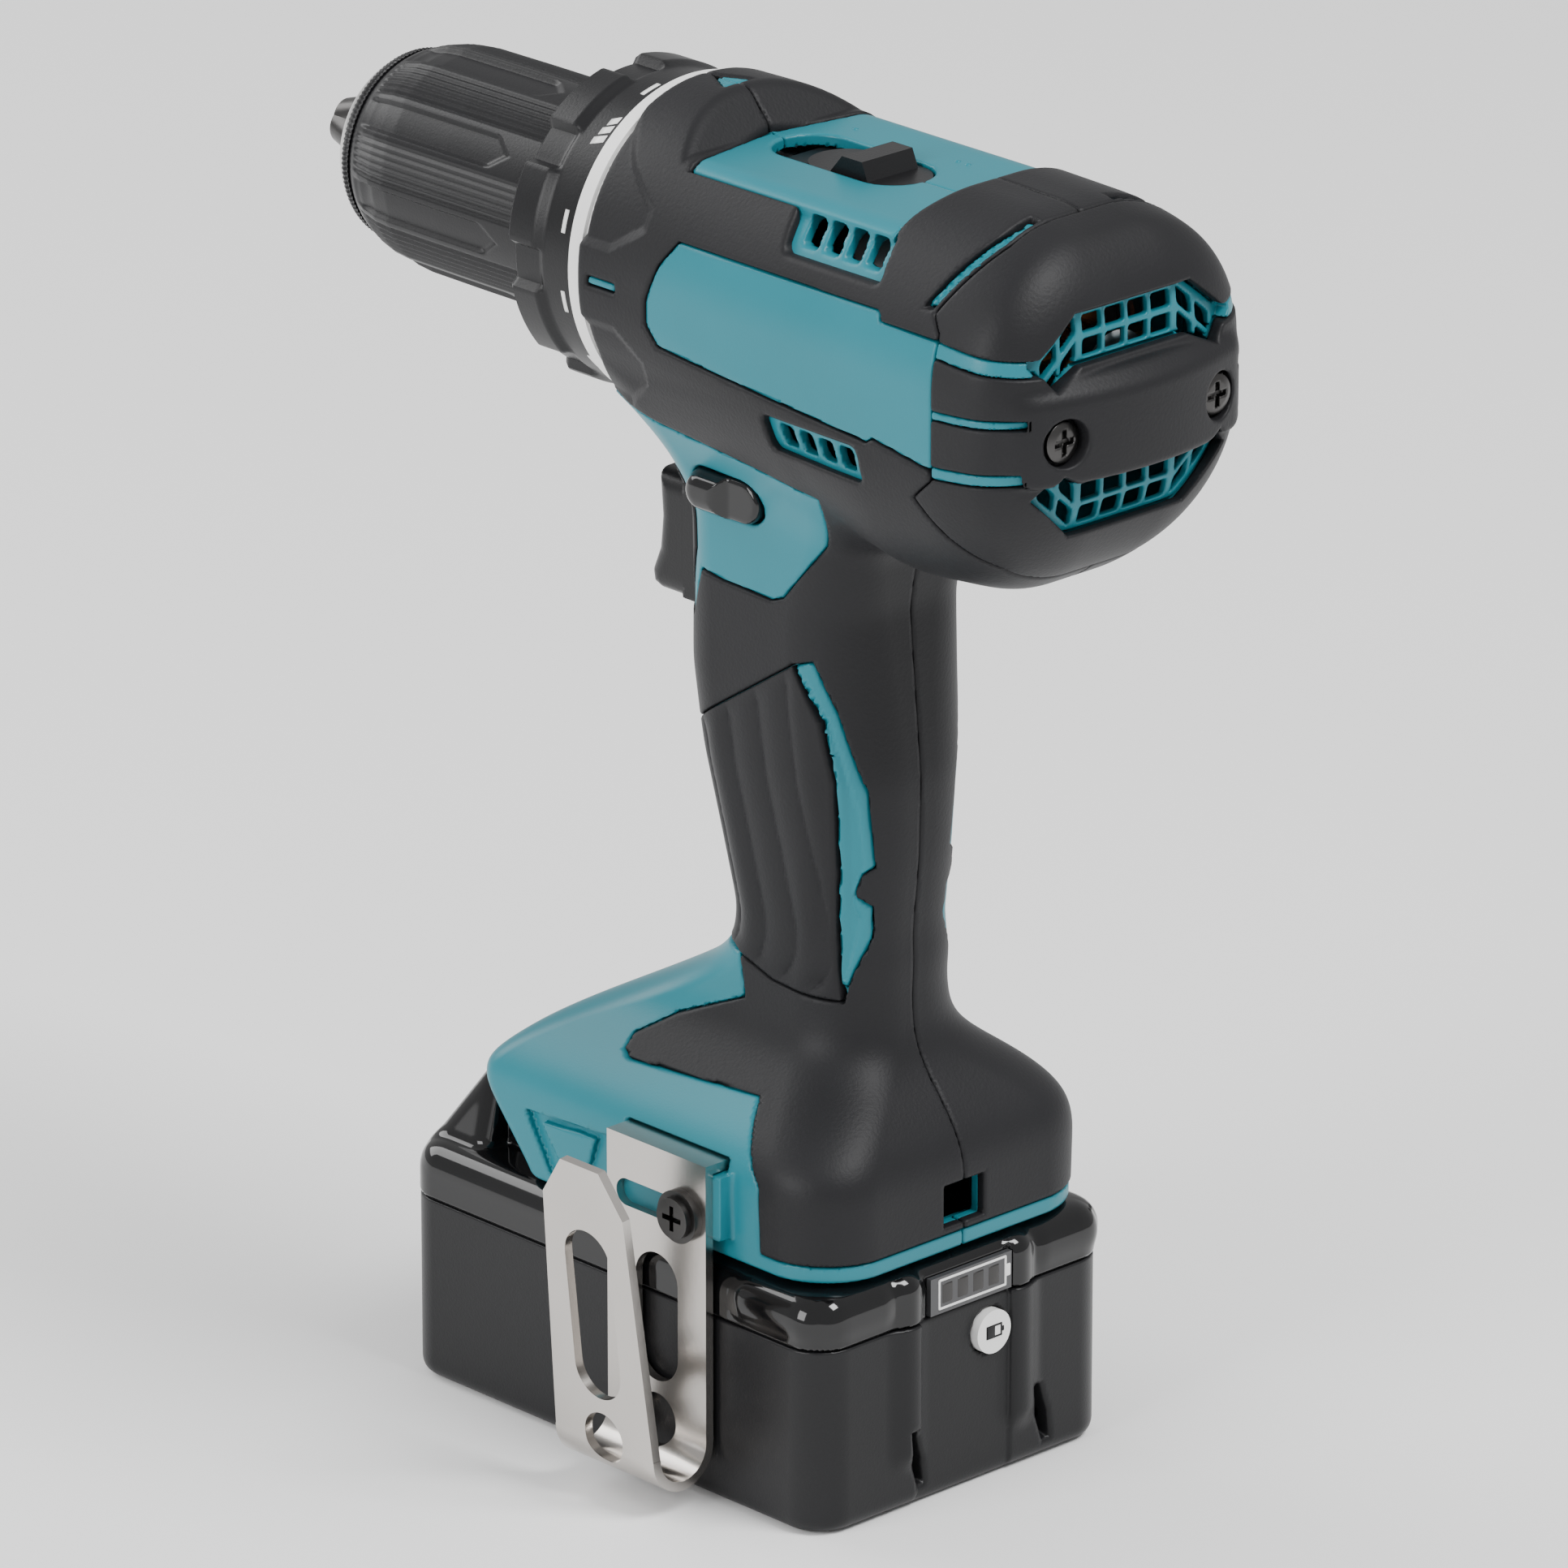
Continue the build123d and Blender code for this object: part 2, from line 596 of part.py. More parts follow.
def build_clutch_spring():
    """Coil spring around the gear case nose."""
    wire_radius = 1.1
    coil_radius = 20.0
    path = Helix(pitch=3.6, height=9.0, radius=coil_radius)
    profile = Plane(origin=path @ 0, z_dir=path % 0) * Circle(wire_radius)
    coil = sweep(profile, path=path)
    return Pos(15.0, 0, SPINDLE_Z) * Rot(0, 90, 0) * coil


# ---- front end ----
TORQUE_RADIUS = 29.0
TORQUE_X = (RING_X + GAP, 31.0)
TORQUE_GRIPS = 8


def build_trim_ring():
    flange = tube_x(30.4, GEAR_FLANGE_RADIUS - 0.4, 11.0, RING_X)
    spigot = tube_x(TRIM_SPIGOT_RADIUS, GEAR_FLANGE_RADIUS, 9.2, 11.0)
    return flange + spigot


def build_torque_ring():
    ring = tube_x(TORQUE_RADIUS, 24.0, TORQUE_X[0], 27.5)
    ring += tube_x(TORQUE_RADIUS - 0.6, NOSE_TUBE_RADIUS + GAP, 26.5, TORQUE_X[1])
    for index in range(TORQUE_GRIPS):
        grip = tube_x(TORQUE_RADIUS + 1.1, TORQUE_RADIUS - 1.5, 23.0, TORQUE_X[1])
        grip &= block(20, 32, -4.6, 4.6, SPINDLE_Z + 10, SPINDLE_Z + 40)
        ring += around_spindle(grip, 360 * index / TORQUE_GRIPS)
    return ring


# ---- chuck ----
SLEEVE_X = (32.0, 88.0)
SLEEVE_RADII = (21.5, 19.3)
JAW_BACK_X = 70.0
NUT_X = (77.0, 83.0)
BODY_RADIUS = 16.2


def jaw_flank(x):
    """Largest distance of a jaw from the spindle axis at x."""
    tilt = math.radians(JAW_TILT)
    return JAW_TIP_RADIUS + (JAW_TIP_X - x) * math.tan(tilt) + JAW_RADIUS / math.cos(tilt)


def jaw_line(index):
    """Frame with its Z axis along one jaw's bore, pointing out of the chuck, origin at the jaw's tip."""
    tilt = math.radians(JAW_TILT)
    angle = math.radians(90 + 120 * index)
    radial = Vector(0, math.cos(angle), math.sin(angle))
    origin = Vector(JAW_TIP_X, 0, SPINDLE_Z) + radial * JAW_TIP_RADIUS
    outward = Vector(math.cos(tilt), 0, 0) - radial * math.sin(tilt)
    return Plane(origin=origin, z_dir=outward)


def build_jaw(index):
    frame = jaw_line(index)
    length = (JAW_TIP_X - JAW_BACK_X) / math.cos(math.radians(JAW_TILT))
    jaw = frame * Pos(0, 0, -length / 2 + 2) * Cylinder(JAW_RADIUS, length + 4)
    jaw &= rod_x(12.8, JAW_BACK_X, JAW_TIP_X)
    jaw -= rod_x(JAW_GAP, 60, 120)
    sector = Plane.YZ * make_face(Polyline((0.17, 0.1), (34.81, 20.1), (0, 40), (-34.81, 20.1),
                                           (-0.17, 0.1), close=True))
    wedge = Pos(50, 0, SPINDLE_Z) * extrude(sector, 70)
    return solids_only(jaw & around_spindle(wedge, 120 * index), 5.0)


def build_chuck_body():
    body = rod_x(BODY_RADIUS, 33.5, SLEEVE_X[1])
    body -= tube_x(BODY_RADIUS + 2, jaw_flank(NUT_X[1]) - GAP, NUT_X[0] - GAP, NUT_X[1] + GAP)
    body -= rod_x(SPINDLE_RADIUS, 30.0, 46.0)
    body -= rod_x(6.6, 52.0, 120.0)
    for index in range(3):
        body -= jaw_line(index) * Pos(0, 0, -50) * Cylinder(JAW_RADIUS + 0.25, 140)
    return solids_only(body)


def build_chuck_sleeve():
    sleeve = cone_x(*SLEEVE_RADII, *SLEEVE_X)
    sleeve -= rod_x(BODY_RADIUS + GAP, 30.0, 47.0)
    sleeve -= rod_x(18.7, 46.0, 76.0)
    sleeve -= rod_x(17.5, 75.0, 90.0)
    for index in range(6):
        panel = block(40, 80, -3.5, 3.5, SPINDLE_Z + 20.6, SPINDLE_Z + 24)
        sleeve -= around_spindle(panel, 60 * index)
    return sleeve


def build_jaw_nut():
    nut = rod_x(17.4, *NUT_X)
    return nut - cone_x(jaw_flank(NUT_X[0]) + GAP, jaw_flank(NUT_X[1]) + GAP, *NUT_X)


def build_nose_ring():
    ring = cone_x(18.9, 12.6, SLEEVE_X[1] + GAP, CHUCK_FRONT_X)
    ring -= rod_x(8.2, 80, 120)
    for index in range(3):
        ring -= jaw_line(index) * Pos(0, 0, -50) * Cylinder(JAW_RADIUS + 0.25, 140)
    return solids_only(ring)


# ---- controls ----
TRIGGER_FRONT = [(6, 180), (15.5, 180), (15, 175), (15.8, 168), (17.5, 160), (17, 157.5), (6, 156)]


def build_trigger():
    blade = side_prism(TRIGGER_FRONT, -9.6, 9.6)
    stem = block(-6, 7, -7.5, 7.5, 159, 177)
    return blade + stem


def build_trigger_spring():
    return Pos(-10.8, 0, 168) * Rot(0, 90, 0) * (Cylinder(3.0, 9.0) - Cylinder(1.8, 10.0))


def build_switch_body():
    body = block(-35.5, -8.5, -9.5, 9.5, 157, 179.5)
    body -= rod_x(3.4, -15.5, -8.0, 0, 168)
    return body - block(-13.5, -8, -8, 8, 158.5, 177.5)


def build_direction_lever():
    """A bar across the handle with a rounded button at each end."""
    middle = (LEVER_Z[0] + LEVER_Z[1]) / 2
    bar = block(-22, -10, -21.0, 21.0, middle - 3.0, middle + 3.0)
    for side in (-1, 1):
        y0, y1 = sorted((side * 15.0, side * 23.0))
        button = lever_opening(-0.2) & block(-FAR, FAR, y0, y1, 0, FAR)
        bar += button
    return bar


def build_speed_selector():
    plate = block(-54, -12.6, -9.5, 9.5, *SELECTOR_Z)
    knob = slot_opening(SLOT_X[0] + 0.4, SLOT_X[1] - SHIFT_TRAVEL - 1, SLOT_HALF_WIDTH - 0.4,
                        SELECTOR_Z[0] + 0.5, 245.2)
    ridge = side_prism([(-38, 244), (-36, 248.6), (-31, 248.6), (-27, 244)], -6.2, 6.2)
    post = block(-15.4, -12.6, -2.0, 2.0, SPINDLE_Z + RING_OUTER - 0.15, SELECTOR_Z[1])
    return plate + knob + ridge + post


def build_lamp_lens():
    return lamp_axis() * (Cylinder(3.2, 5.0) + Pos(0, 0, 1.3) * Sphere(2.6))


def build_terminal_block():
    base = block(-36, -12, -15, 15, 62.6, 68.0)
    for y in (-9, 0, 9):
        base += block(-30, -16, y - 0.6, y + 0.6, 52.0, 63.0)
    return base


# ---- belt clip ----
CLIP_THICKNESS = 1.8
CLIP_BEND_RADIUS = 7.4
CLIP_BEND_Z = 12.0
CLIP_LEAN = 6.0


def build_belt_clip():
    x0, x1 = CLIP_X - CLIP_HALF_WIDTH, CLIP_X + CLIP_HALF_WIDTH
    inner_y = CLIP_FACE_Y
    bend_y = inner_y + CLIP_BEND_RADIUS
    inner_leaf = block(x0, x1, inner_y, inner_y + CLIP_THICKNESS, CLIP_BEND_Z, 66.0)
    flange = block(x0, x1, 33.5, inner_y + CLIP_THICKNESS, 64.2, 66.0)
    bend = Pos(CLIP_X, bend_y, CLIP_BEND_Z) * Rot(0, 90, 0) * (
        Cylinder(CLIP_BEND_RADIUS, x1 - x0) - Cylinder(CLIP_BEND_RADIUS - CLIP_THICKNESS, x1 - x0 + 2))
    bend &= block(-FAR, FAR, -FAR, FAR, -FAR, CLIP_BEND_Z)
    outer = block(x0, x1, -CLIP_THICKNESS, 0, -0.6, 56.0)
    outline = [(x0, -2), (x1, -2), (x1 - 2.5, 48), (CLIP_X + 5, 56), (CLIP_X - 5, 56), (x0 + 2.5, 48)]
    outer &= side_prism(outline, -10, 10)
    outer -= obround_y(CLIP_X, 26.0, 6.0, 17.0, -10, 10)
    outer_leaf = Pos(0, bend_y + CLIP_BEND_RADIUS, CLIP_BEND_Z) * Rot(-CLIP_LEAN, 0, 0) * outer
    clip = inner_leaf + flange + bend + outer_leaf
    clip -= obround_y(CLIP_X, 33.0, 5.6, 12.5, 30, 44)
    clip -= obround_x(CLIP_X, CLIP_SCREW_Z, 2.6, 10.5, 30, 44)
    clip -= rod_y(5.0, 30, 60, CLIP_X, 13.0)
    return clip


def obround_y(x, z, radius, half_length, y0, y1):
    """An upright obround hole through a plate that faces Y."""
    hole = block(x - radius, x + radius, y0, y1, z - half_length + radius, z + half_length - radius)
    hole += rod_y(radius, y0, y1, x, z - half_length + radius)
    return hole + rod_y(radius, y0, y1, x, z + half_length - radius)


def obround_x(x, z, radius, half_length, y0, y1):
    """A level obround hole through a plate that faces Y."""
    hole = block(x - half_length + radius, x + half_length - radius, y0, y1, z - radius, z + radius)
    hole += rod_y(radius, y0, y1, x - half_length + radius, z)
    return hole + rod_y(radius, y0, y1, x + half_length - radius, z)


def build_belt_clip_screw():
    seat = CLIP_FACE_Y + CLIP_THICKNESS
    head = rod_y(5.0, seat, seat + 1.6, CLIP_SCREW_X, CLIP_SCREW_Z)
    dome = Pos(CLIP_SCREW_X, seat + 1.6, CLIP_SCREW_Z) * Rot(-90, 0, 0) * Pos(0, 0, 0.6) * Cylinder(3.9, 1.2)
    shank = rod_y(M4_HOLE_RADIUS, CLIP_FACE_Y - 6.5, seat, CLIP_SCREW_X, CLIP_SCREW_Z)
    cross = block(CLIP_SCREW_X - 2.4, CLIP_SCREW_X + 2.4, seat + 1.4, seat + 4,
                  CLIP_SCREW_Z - 0.5, CLIP_SCREW_Z + 0.5)
    cross += block(CLIP_SCREW_X - 0.5, CLIP_SCREW_X + 0.5, seat + 1.4, seat + 4,
                   CLIP_SCREW_Z - 2.4, CLIP_SCREW_Z + 2.4)
    return head + dome + shank - cross


# ---- battery ----
CELL_RADIUS = 9.1
CELL_LENGTH = 65.0
CELL_PITCH = 19.4
CELL_ROWS_Z = (12.0, 31.0)
CASE_WALL = 2.0
BUTTON_Y = -6.2
BUTTON_Z = 29.0
BUTTON_RADIUS = 4.2


def battery_section(z, inset, shrink=0.0):
    length = BATTERY_LENGTH - 2 * (inset + shrink)
    width = BATTERY_WIDTH - 2 * (inset + shrink)
    return Pos(BATTERY_CENTRE_X, 0, z) * RectangleRounded(length, width, max(7.0 - inset, 2.0))


def battery_block(z0, z1, inset):
    return extrude(battery_section(z0, inset), z1 - z0)


def battery_screw_places():
    half_x = BATTERY_LENGTH / 2 - 4.6
    half_y = BATTERY_WIDTH / 2 - 6.5
    return [(BATTERY_CENTRE_X + sx * half_x, sy * half_y) for sx in (-1, 1) for sy in (-1, 1)]


def check_button_hole(play):
    return rod_x(BUTTON_RADIUS + play, -62.0, -50.0, BUTTON_Y, BUTTON_Z)


def gauge_recess():
    return block(-60.0, -56.8, -11.0, 9.6, 36.2, 43.6)


def build_battery_lower_case():
    case = loft([battery_section(0.0, 0.0, 4.5), battery_section(2.0, 0.0, 1.6),
                 battery_section(6.0, 0.0, 0.4), battery_section(BATTERY_PARTING_Z, 0.0, 0.0)], ruled=True)
    case -= battery_block(CASE_WALL, BATTERY_PARTING_Z + 1, CASE_WALL + 0.4)
    for x, y in battery_screw_places():
        case += rod_z(2.6, 1.0, 20.0, x, y)
        case -= rod_z(1.4, -1.0, 30.0, x, y) + rod_z(2.6, -1.0, 2.6, x, y)
    for y in (-19.5, 12.0):
        case -= Pos(-58.0, y, 9.5) * Rot(0, 20, 0) * Cylinder(1.9, 10.0)
    return solids_only(case - check_button_hole(0.15))


def front_block_outline():
    """Side view of the raised front end of the battery."""
    return [(37.4, 40), (37.4, 62), (40.5, 62), (50.5, 47.5), (53.6, 44.5), (53.6, 40)]


def release_outline(play):
    """Side view of the release button."""
    return [(43.5 - play, 44.0 - play), (43.5 - play, 62.0), (46.0, 62.0), (55.0, 49.0), (55.0, 44.0 - play)]


def build_battery_upper_case():
    case = battery_block(BATTERY_PARTING_Z, BATTERY_DECK_Z, 0.0)
    case = chamfer(case.edges().group_by(Axis.Z)[-1], 3.0)
    tower = block(-48.0, 38.0, -25.4, 25.4, BATTERY_DECK_Z - 1, 60.0)
    front = side_prism(front_block_outline(), -31.0, 31.0)
    case += tower + front
    case -= battery_block(BATTERY_PARTING_Z - 1, 44.0, CASE_WALL + 0.4)
    case -= block(-46.0, 36.0, -23.4, 23.4, 43.0, 58.0)
    for y in (-9, 0, 9):
        case -= block(-50.0, -13.0, y - 1.0, y + 1.0, 50.0, 62.0)
    pocket = side_prism([(43.2, 38.5), (43.2, 70), (60, 70), (60, 38.5)], -11.4, 11.4)
    case -= pocket
    for x, y in battery_screw_places():
        case += rod_z(2.6, BATTERY_PARTING_Z, 45.0, x, y) - rod_z(1.4, 30.0, 42.0, x, y)
    return solids_only(case - gauge_recess())


def build_release_button():
    button = side_prism([(43.6, 44.0), (43.6, 58.0), (45.0, 57.0), (51.0, 48.3), (53.4, 46.0), (53.4, 44.0)],
                        -11.0, 11.0)
    for index in range(4):
        z = 47.5 + 2.2 * index
        x = 51.2 - 1.5 * index
        button -= block(x, x + 4, -8.5, 8.5, z, z + 0.8)
    return button


def build_gauge_window():
    return block(-58.0, -56.9, -10.9, 9.5, 36.3, 43.5)


def build_check_button():
    return rod_x(BUTTON_RADIUS, -58.4, -54.5, BUTTON_Y, BUTTON_Z)


def build_battery_cells():
    cells = []
    for z in CELL_ROWS_Z:
        for column in range(5):
            x = BATTERY_CENTRE_X + (column - 2) * CELL_PITCH
            body = rod_y(CELL_RADIUS, -CELL_LENGTH / 2, CELL_LENGTH / 2 - 1, x, z)
            cells.append(body + rod_y(3.0, CELL_LENGTH / 2 - 1, CELL_LENGTH / 2, x, z))
    return Compound(children=cells)


def build_cell_holder():
    plates = []
    for y in (-24.0, 24.0):
        plate = block(-49.0, 45.0, y - 2, y + 2, 3.0, 41.0)
        for z in CELL_ROWS_Z:
            for column in range(5):
                x = BATTERY_CENTRE_X + (column - 2) * CELL_PITCH
                plate -= rod_y(CELL_RADIUS, y - 3, y + 3, x, z)
        plates += [solid for solid in plate.solids() if solid.volume > 20]
    return Compound(children=plates)


def build_battery_board():
    return block(-44.0, 30.0, -20.0, 20.0, 46.6, 48.2)


def build_battery_terminals():
    clips = []
    for y in (-9, 0, 9):
        clip = block(-30.0, -14.0, y - 2.2, y + 2.2, 48.2, 49.2)
        for side in (-1, 1):
            y0, y1 = sorted((y + side * 1.4, y + side * 2.2))
            clip += block(-30.0, -14.0, y0, y1, 48.2, 57.5)
        clips.append(clip)
    return Compound(children=clips)


def build_battery_screws():
    screws = []
    for x, y in battery_screw_places():
        screws.append(rod_z(2.5, 0.6, 2.6, x, y) + rod_z(1.4, 2.6, 40.0, x, y))
    return Compound(children=screws)


def build_ring_gear_2():
    return ring_gear(RING_OUTER - 0.2, -16.4, -7.2)


def main():
    outer = body_form(0.0)
    middle = body_form(SKIN)
    windows = window_prisms()
    rear_region = side_prism(REAR_REGION, -FAR, FAR)
    shell = build_shell(middle, windows, rear_region)
    for name, side in (("left", 1), ("right", -1)):
        save(f"housing_{name}", build_housing_half(shell, side))
        save(f"overmould_{name}", build_overmould(outer, middle, windows, rear_region, side))
    save("rear_cover", build_rear_cover(middle, rear_region))
    save("rear_cover_bumper", build_rear_cover_bumper(outer, middle, rear_region))
    save("rear_cover_screws", build_rear_cover_screws())
    save("housing_screws", build_housing_screws())

    save("motor_can", build_motor_can())
    save("motor_magnets", build_motor_magnets())
    save("motor_shaft", build_motor_shaft())
    save("armature", build_armature())
    save("commutator", build_commutator())
    save("cooling_fan", build_cooling_fan())
    save("brush_holders", build_brush_holders())
    save("carbon_brushes", build_carbon_brushes())
    save("rear_bearing", build_bearing(REAR_BEARING_RADIUS, SHAFT_RADIUS, *REAR_BEARING_X))
    save("front_bearing", build_bearing(7.0, SHAFT_RADIUS, *FRONT_BEARING_X))

    save("gear_case", build_gear_case())
    save("ring_gear_1", ring_gear(RING_OUTER + 0.1, -30.6, -20.6))
    save("ring_gear_2", build_ring_gear_2())
    for stage in range(2):
        for index in range(PLANETS):
            save(f"stage_{stage + 1}_planet_{index + 1}", planet(stage, index))
    save("first_carrier", build_first_carrier())
    save("spindle", build_spindle())
    save("spindle_bearing", build_bearing(10.5, SPINDLE_RADIUS, *SPINDLE_BEARING_X))
    save("clutch_spring", build_clutch_spring())

    save("trim_ring", build_trim_ring())
    save("torque_ring", build_torque_ring())
    save("chuck_body", build_chuck_body())
    save("chuck_sleeve", build_chuck_sleeve())
    save("jaw_nut", build_jaw_nut())
    save("chuck_nose_ring", build_nose_ring())
    for index in range(3):
        save(f"chuck_jaw_{index + 1}", build_jaw(index))

    save("trigger", build_trigger())
    save("trigger_spring", build_trigger_spring())
    save("switch_body", build_switch_body())
    save("direction_lever", build_direction_lever())
    save("speed_selector", build_speed_selector())
    save("lamp_lens", build_lamp_lens())
    save("terminal_block", build_terminal_block())
    save("belt_clip", build_belt_clip())
    save("belt_clip_screw", build_belt_clip_screw())

    save("battery_lower_case", build_battery_lower_case())
    save("battery_upper_case", build_battery_upper_case())
    save("release_button", build_release_button())
    save("gauge_window", build_gauge_window())
    save("check_button", build_check_button())
    save("battery_cells", build_battery_cells())
    save("cell_holder", build_cell_holder())
    save("battery_board", build_battery_board())
    save("battery_terminals", build_battery_terminals())
    save("battery_screws", build_battery_screws())


main()
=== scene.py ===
import json
import math
import bpy
import numpy as np
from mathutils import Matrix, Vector


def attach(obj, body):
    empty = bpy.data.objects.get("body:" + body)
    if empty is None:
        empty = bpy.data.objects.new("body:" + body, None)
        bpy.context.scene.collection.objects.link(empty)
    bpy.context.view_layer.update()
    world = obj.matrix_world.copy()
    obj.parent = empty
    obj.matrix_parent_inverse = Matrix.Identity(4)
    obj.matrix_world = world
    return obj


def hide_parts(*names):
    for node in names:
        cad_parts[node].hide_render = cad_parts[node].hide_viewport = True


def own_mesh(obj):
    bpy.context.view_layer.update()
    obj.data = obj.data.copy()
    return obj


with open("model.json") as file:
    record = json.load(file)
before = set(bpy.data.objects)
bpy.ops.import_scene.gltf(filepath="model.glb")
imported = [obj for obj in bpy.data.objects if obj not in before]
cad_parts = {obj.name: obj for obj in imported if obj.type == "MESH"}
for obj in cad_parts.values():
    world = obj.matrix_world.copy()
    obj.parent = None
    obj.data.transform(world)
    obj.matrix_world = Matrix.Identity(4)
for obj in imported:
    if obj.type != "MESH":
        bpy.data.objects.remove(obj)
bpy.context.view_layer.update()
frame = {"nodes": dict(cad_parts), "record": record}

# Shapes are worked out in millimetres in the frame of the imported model, and turned into metres when
# a mesh is made. +X points forward along the spindle, +Y to the tool's left, +Z up.
MM = 0.001

# ---- driving dimensions ----
SPINDLE_Z = 222.0
SKIN = 1.6                 # rubber thickness
RUBBER_DEPTH = 2.4         # how deep the rubber is bedded, into the housing skin under it
PANEL_STEP = 0.35          # how far a bare housing panel sits below the rubber
SEAM = 0.22                # free line between rubber and panel
SHELL = 3.8                # from the outer form to the inside of the housing
FOOT_BOTTOM_Z = 46.8
TOP_PANEL_Z = 246.2
TOP_PANEL_X = (-60.0, -7.0)
BATTERY_PARTING_Z = 36.0
BATTERY_DECK_Z = 46.5
BATTERY_CENTRE_X = -2.0
BATTERY_HALF = (56.0, 37.5)
STEP = 0.72      # spacing of the grid that the moulded shapes are cut from
FINE_STEP = 0.5

# x, half width, low z, high z, corner radius
BARREL = [
    (-98.0, 27.5, 196.0, 241.0, 18.0),
    (-92.0, 31.5, 188.5, 247.5, 24.0),
    (-82.0, 33.0, 181.0, 250.5, 28.0),
    (-62.0, 33.0, 179.0, 251.0, 28.0),
    (-30.0, 32.5, 186.0, 252.0, 29.0),
    (0.0, 31.5, 190.0, 253.5, 30.0),
    (11.0, 31.5, 190.5, 253.5, 31.0),
]
# z, rear x, front x, half width, corner radius
GRIP = [
    (46.8, -57.0, 23.0, 35.0, 14.0),
    (62.5, -57.0, 35.5, 35.5, 14.0),
    (66.5, -56.0, 36.5, 35.0, 14.0),
    (70.0, -54.0, 33.0, 32.5, 14.0),
    (74.0, -51.0, 29.0, 28.0, 14.0),
    (78.0, -47.5, 23.0, 22.5, 14.0),
    (82.0, -45.0, 16.0, 18.6, 14.0),
    (86.0, -43.8, 9.0, 17.0, 14.0),
    (92.0, -43.4, -1.0, 16.5, 14.0),
    (98.0, -43.8, -6.5, 16.5, 13.5),
    (104.0, -43.5, -7.0, 16.2, 13.5),
    (118.0, -45.0, -4.0, 17.0, 14.5),
    (134.0, -45.5, -0.5, 18.0, 15.0),
    (150.0, -44.0, 1.5, 18.5, 14.5),
    (166.0, -42.5, 1.0, 18.7, 13.0),
    (180.0, -45.0, 0.5, 19.3, 10.0),
    (188.0, -48.0, 5.0, 20.5, 9.0),
    (200.0, -47.0, 11.0, 24.0, 9.0),
]
# side-view outlines (x, z) of the places where the housing shows through the rubber
SIDE_PANEL = [(-82, 232), (-66.5, 232.3), (-65.5, 234), (-14, 234), (-10, 229), (-7, 222), (-7, 217.5),
              (-10, 213.8), (-64.5, 210), (-66, 211), (-82, 208.5)]
TRIGGER_PANEL = [(-46.5, 193.5), (-3, 196.5), (13, 199.5), (20, 199.5), (20, 188), (9, 189), (-2, 185.5),
                 (-5.3, 179), (-5.3, 172), (-1, 160.5), (-3.5, 158.5), (-7.5, 168.5), (-14, 167.8),
                 (-26, 167.3), (-29, 168.5), (-40, 181)]
HANDLE_INLAY = [(-31, 156.5), (-35.1, 157.8), (-38.9, 148.3), (-42.7, 133.5), (-43, 118.8), (-41.5, 117.3),
                (-40.5, 113.5), (-42.3, 111), (-41.7, 104.5), (-38.5, 92.6), (-37.6, 104.5), (-38.4, 118.2),
                (-38.6, 135.2), (-36.3, 146.5)]
GRIP_INSERT = [(6, 132.5), (-31, 156.5), (-36.3, 146.5), (-38.6, 135.2), (-38.4, 118.2), (-37.6, 104.5),
               (-38.5, 92.6), (-24, 93.5), (-13, 97), (6, 97)]
FOOT_PANEL = [(-40, 50.5), (-39.9, 63.3), (-30.1, 75.5), (2.3, 73.9), (4.7, 74.9), (5.2, 77), (-1.5, 81.6),
              (-16.9, 88.4), (-15, 96.5), (60, 98), (60, 40), (-80, 40), (-80, 50.5)]
REAR_REGION = [(-84, 260), (-84, 247), (-78, 236), (-80.5, 233), (-80.5, 207), (-76, 203),
               (-87, 190), (-90, 170), (-110, 170), (-110, 260)]
FRONT_FACETS = [
    [(14, 252), (4, 243), (-5, 237.5), (-5, 234), (3, 229), (14, 229)],
    [(14, 214), (2, 214), (-4, 209), (-4, 205), (3, 199), (14, 199)],
]
INLAY_LINE = [(-33.5, 154), (-39.5, 140), (-41.5, 130), (-41.9, 119), (-40.1, 114), (-40.8, 109),
              (-38.8, 97), (-39, 106), (-39.8, 118), (-40, 134), (-37.8, 146)]
BRACKET_WINDOW = [(22, 60.3), (-14, 62.4), (-14, 51), (11, 48.5), (16, 49.5)]
BRACKET_WINDOW_INNER = [(17, 58.6), (4, 59.4), (7, 51), (11, 50.6)]
VENT_X = (-61.0, -40.0)
VENTS_Z = ((238.5, 244.0), (203.0, 207.5))
SLOT_X = (-45.0, -10.0)
SLOT_HALF_WIDTH = 7.5
LEVER_X = (-25.3, -6.7)
LEVER_Z = (180.6, 189.4)


# ---- distance fields: negative inside, in millimetres ----
def smooth_max(a, b, width):
    """The larger of two fields, with a rounded crease."""
    mix = np.clip(0.5 + 0.5 * (a - b) / width, 0.0, 1.0)
    return b + (a - b) * mix + width * mix * (1.0 - mix)


def smooth_min(a, b, width):
    return -smooth_max(-a, -b, width)


def cut(field, hole, width=0.5):
    """Takes a hole out of a field, with a rounded lip."""
    return smooth_max(field, -hole, width)


def smooth_table(rows, column, spread):
    """One column of a table of sections as a smooth function of the first column."""
    rows = sorted(rows)
    places = np.array([row[0] for row in rows])
    values = np.array([row[column] for row in rows])
    dense = np.arange(places[0] - 20.0, places[-1] + 20.0, 0.5)
    straight = np.interp(dense, places, values)
    window = np.exp(-0.5 * (np.arange(-3 * spread, 3 * spread + 0.25, 0.5) / spread) ** 2)
    padded = np.pad(straight, len(window) // 2, mode="edge")
    smooth = np.convolve(padded, window / window.sum(), mode="valid")[:len(dense)]
    return lambda t: np.interp(t, dense, smooth)


BARREL_TABLE = [smooth_table(BARREL, column, 3.0) for column in range(1, 5)]
GRIP_TABLE = [smooth_table(GRIP, column, 1.8) for column in range(1, 5)]
FRONT_RADIUS = smooth_table([(46.8, 5.0), (70.0, 5.0), (78.0, 8.0), (88.0, 12.5), (200.0, 11.0)], 1, 2.2)


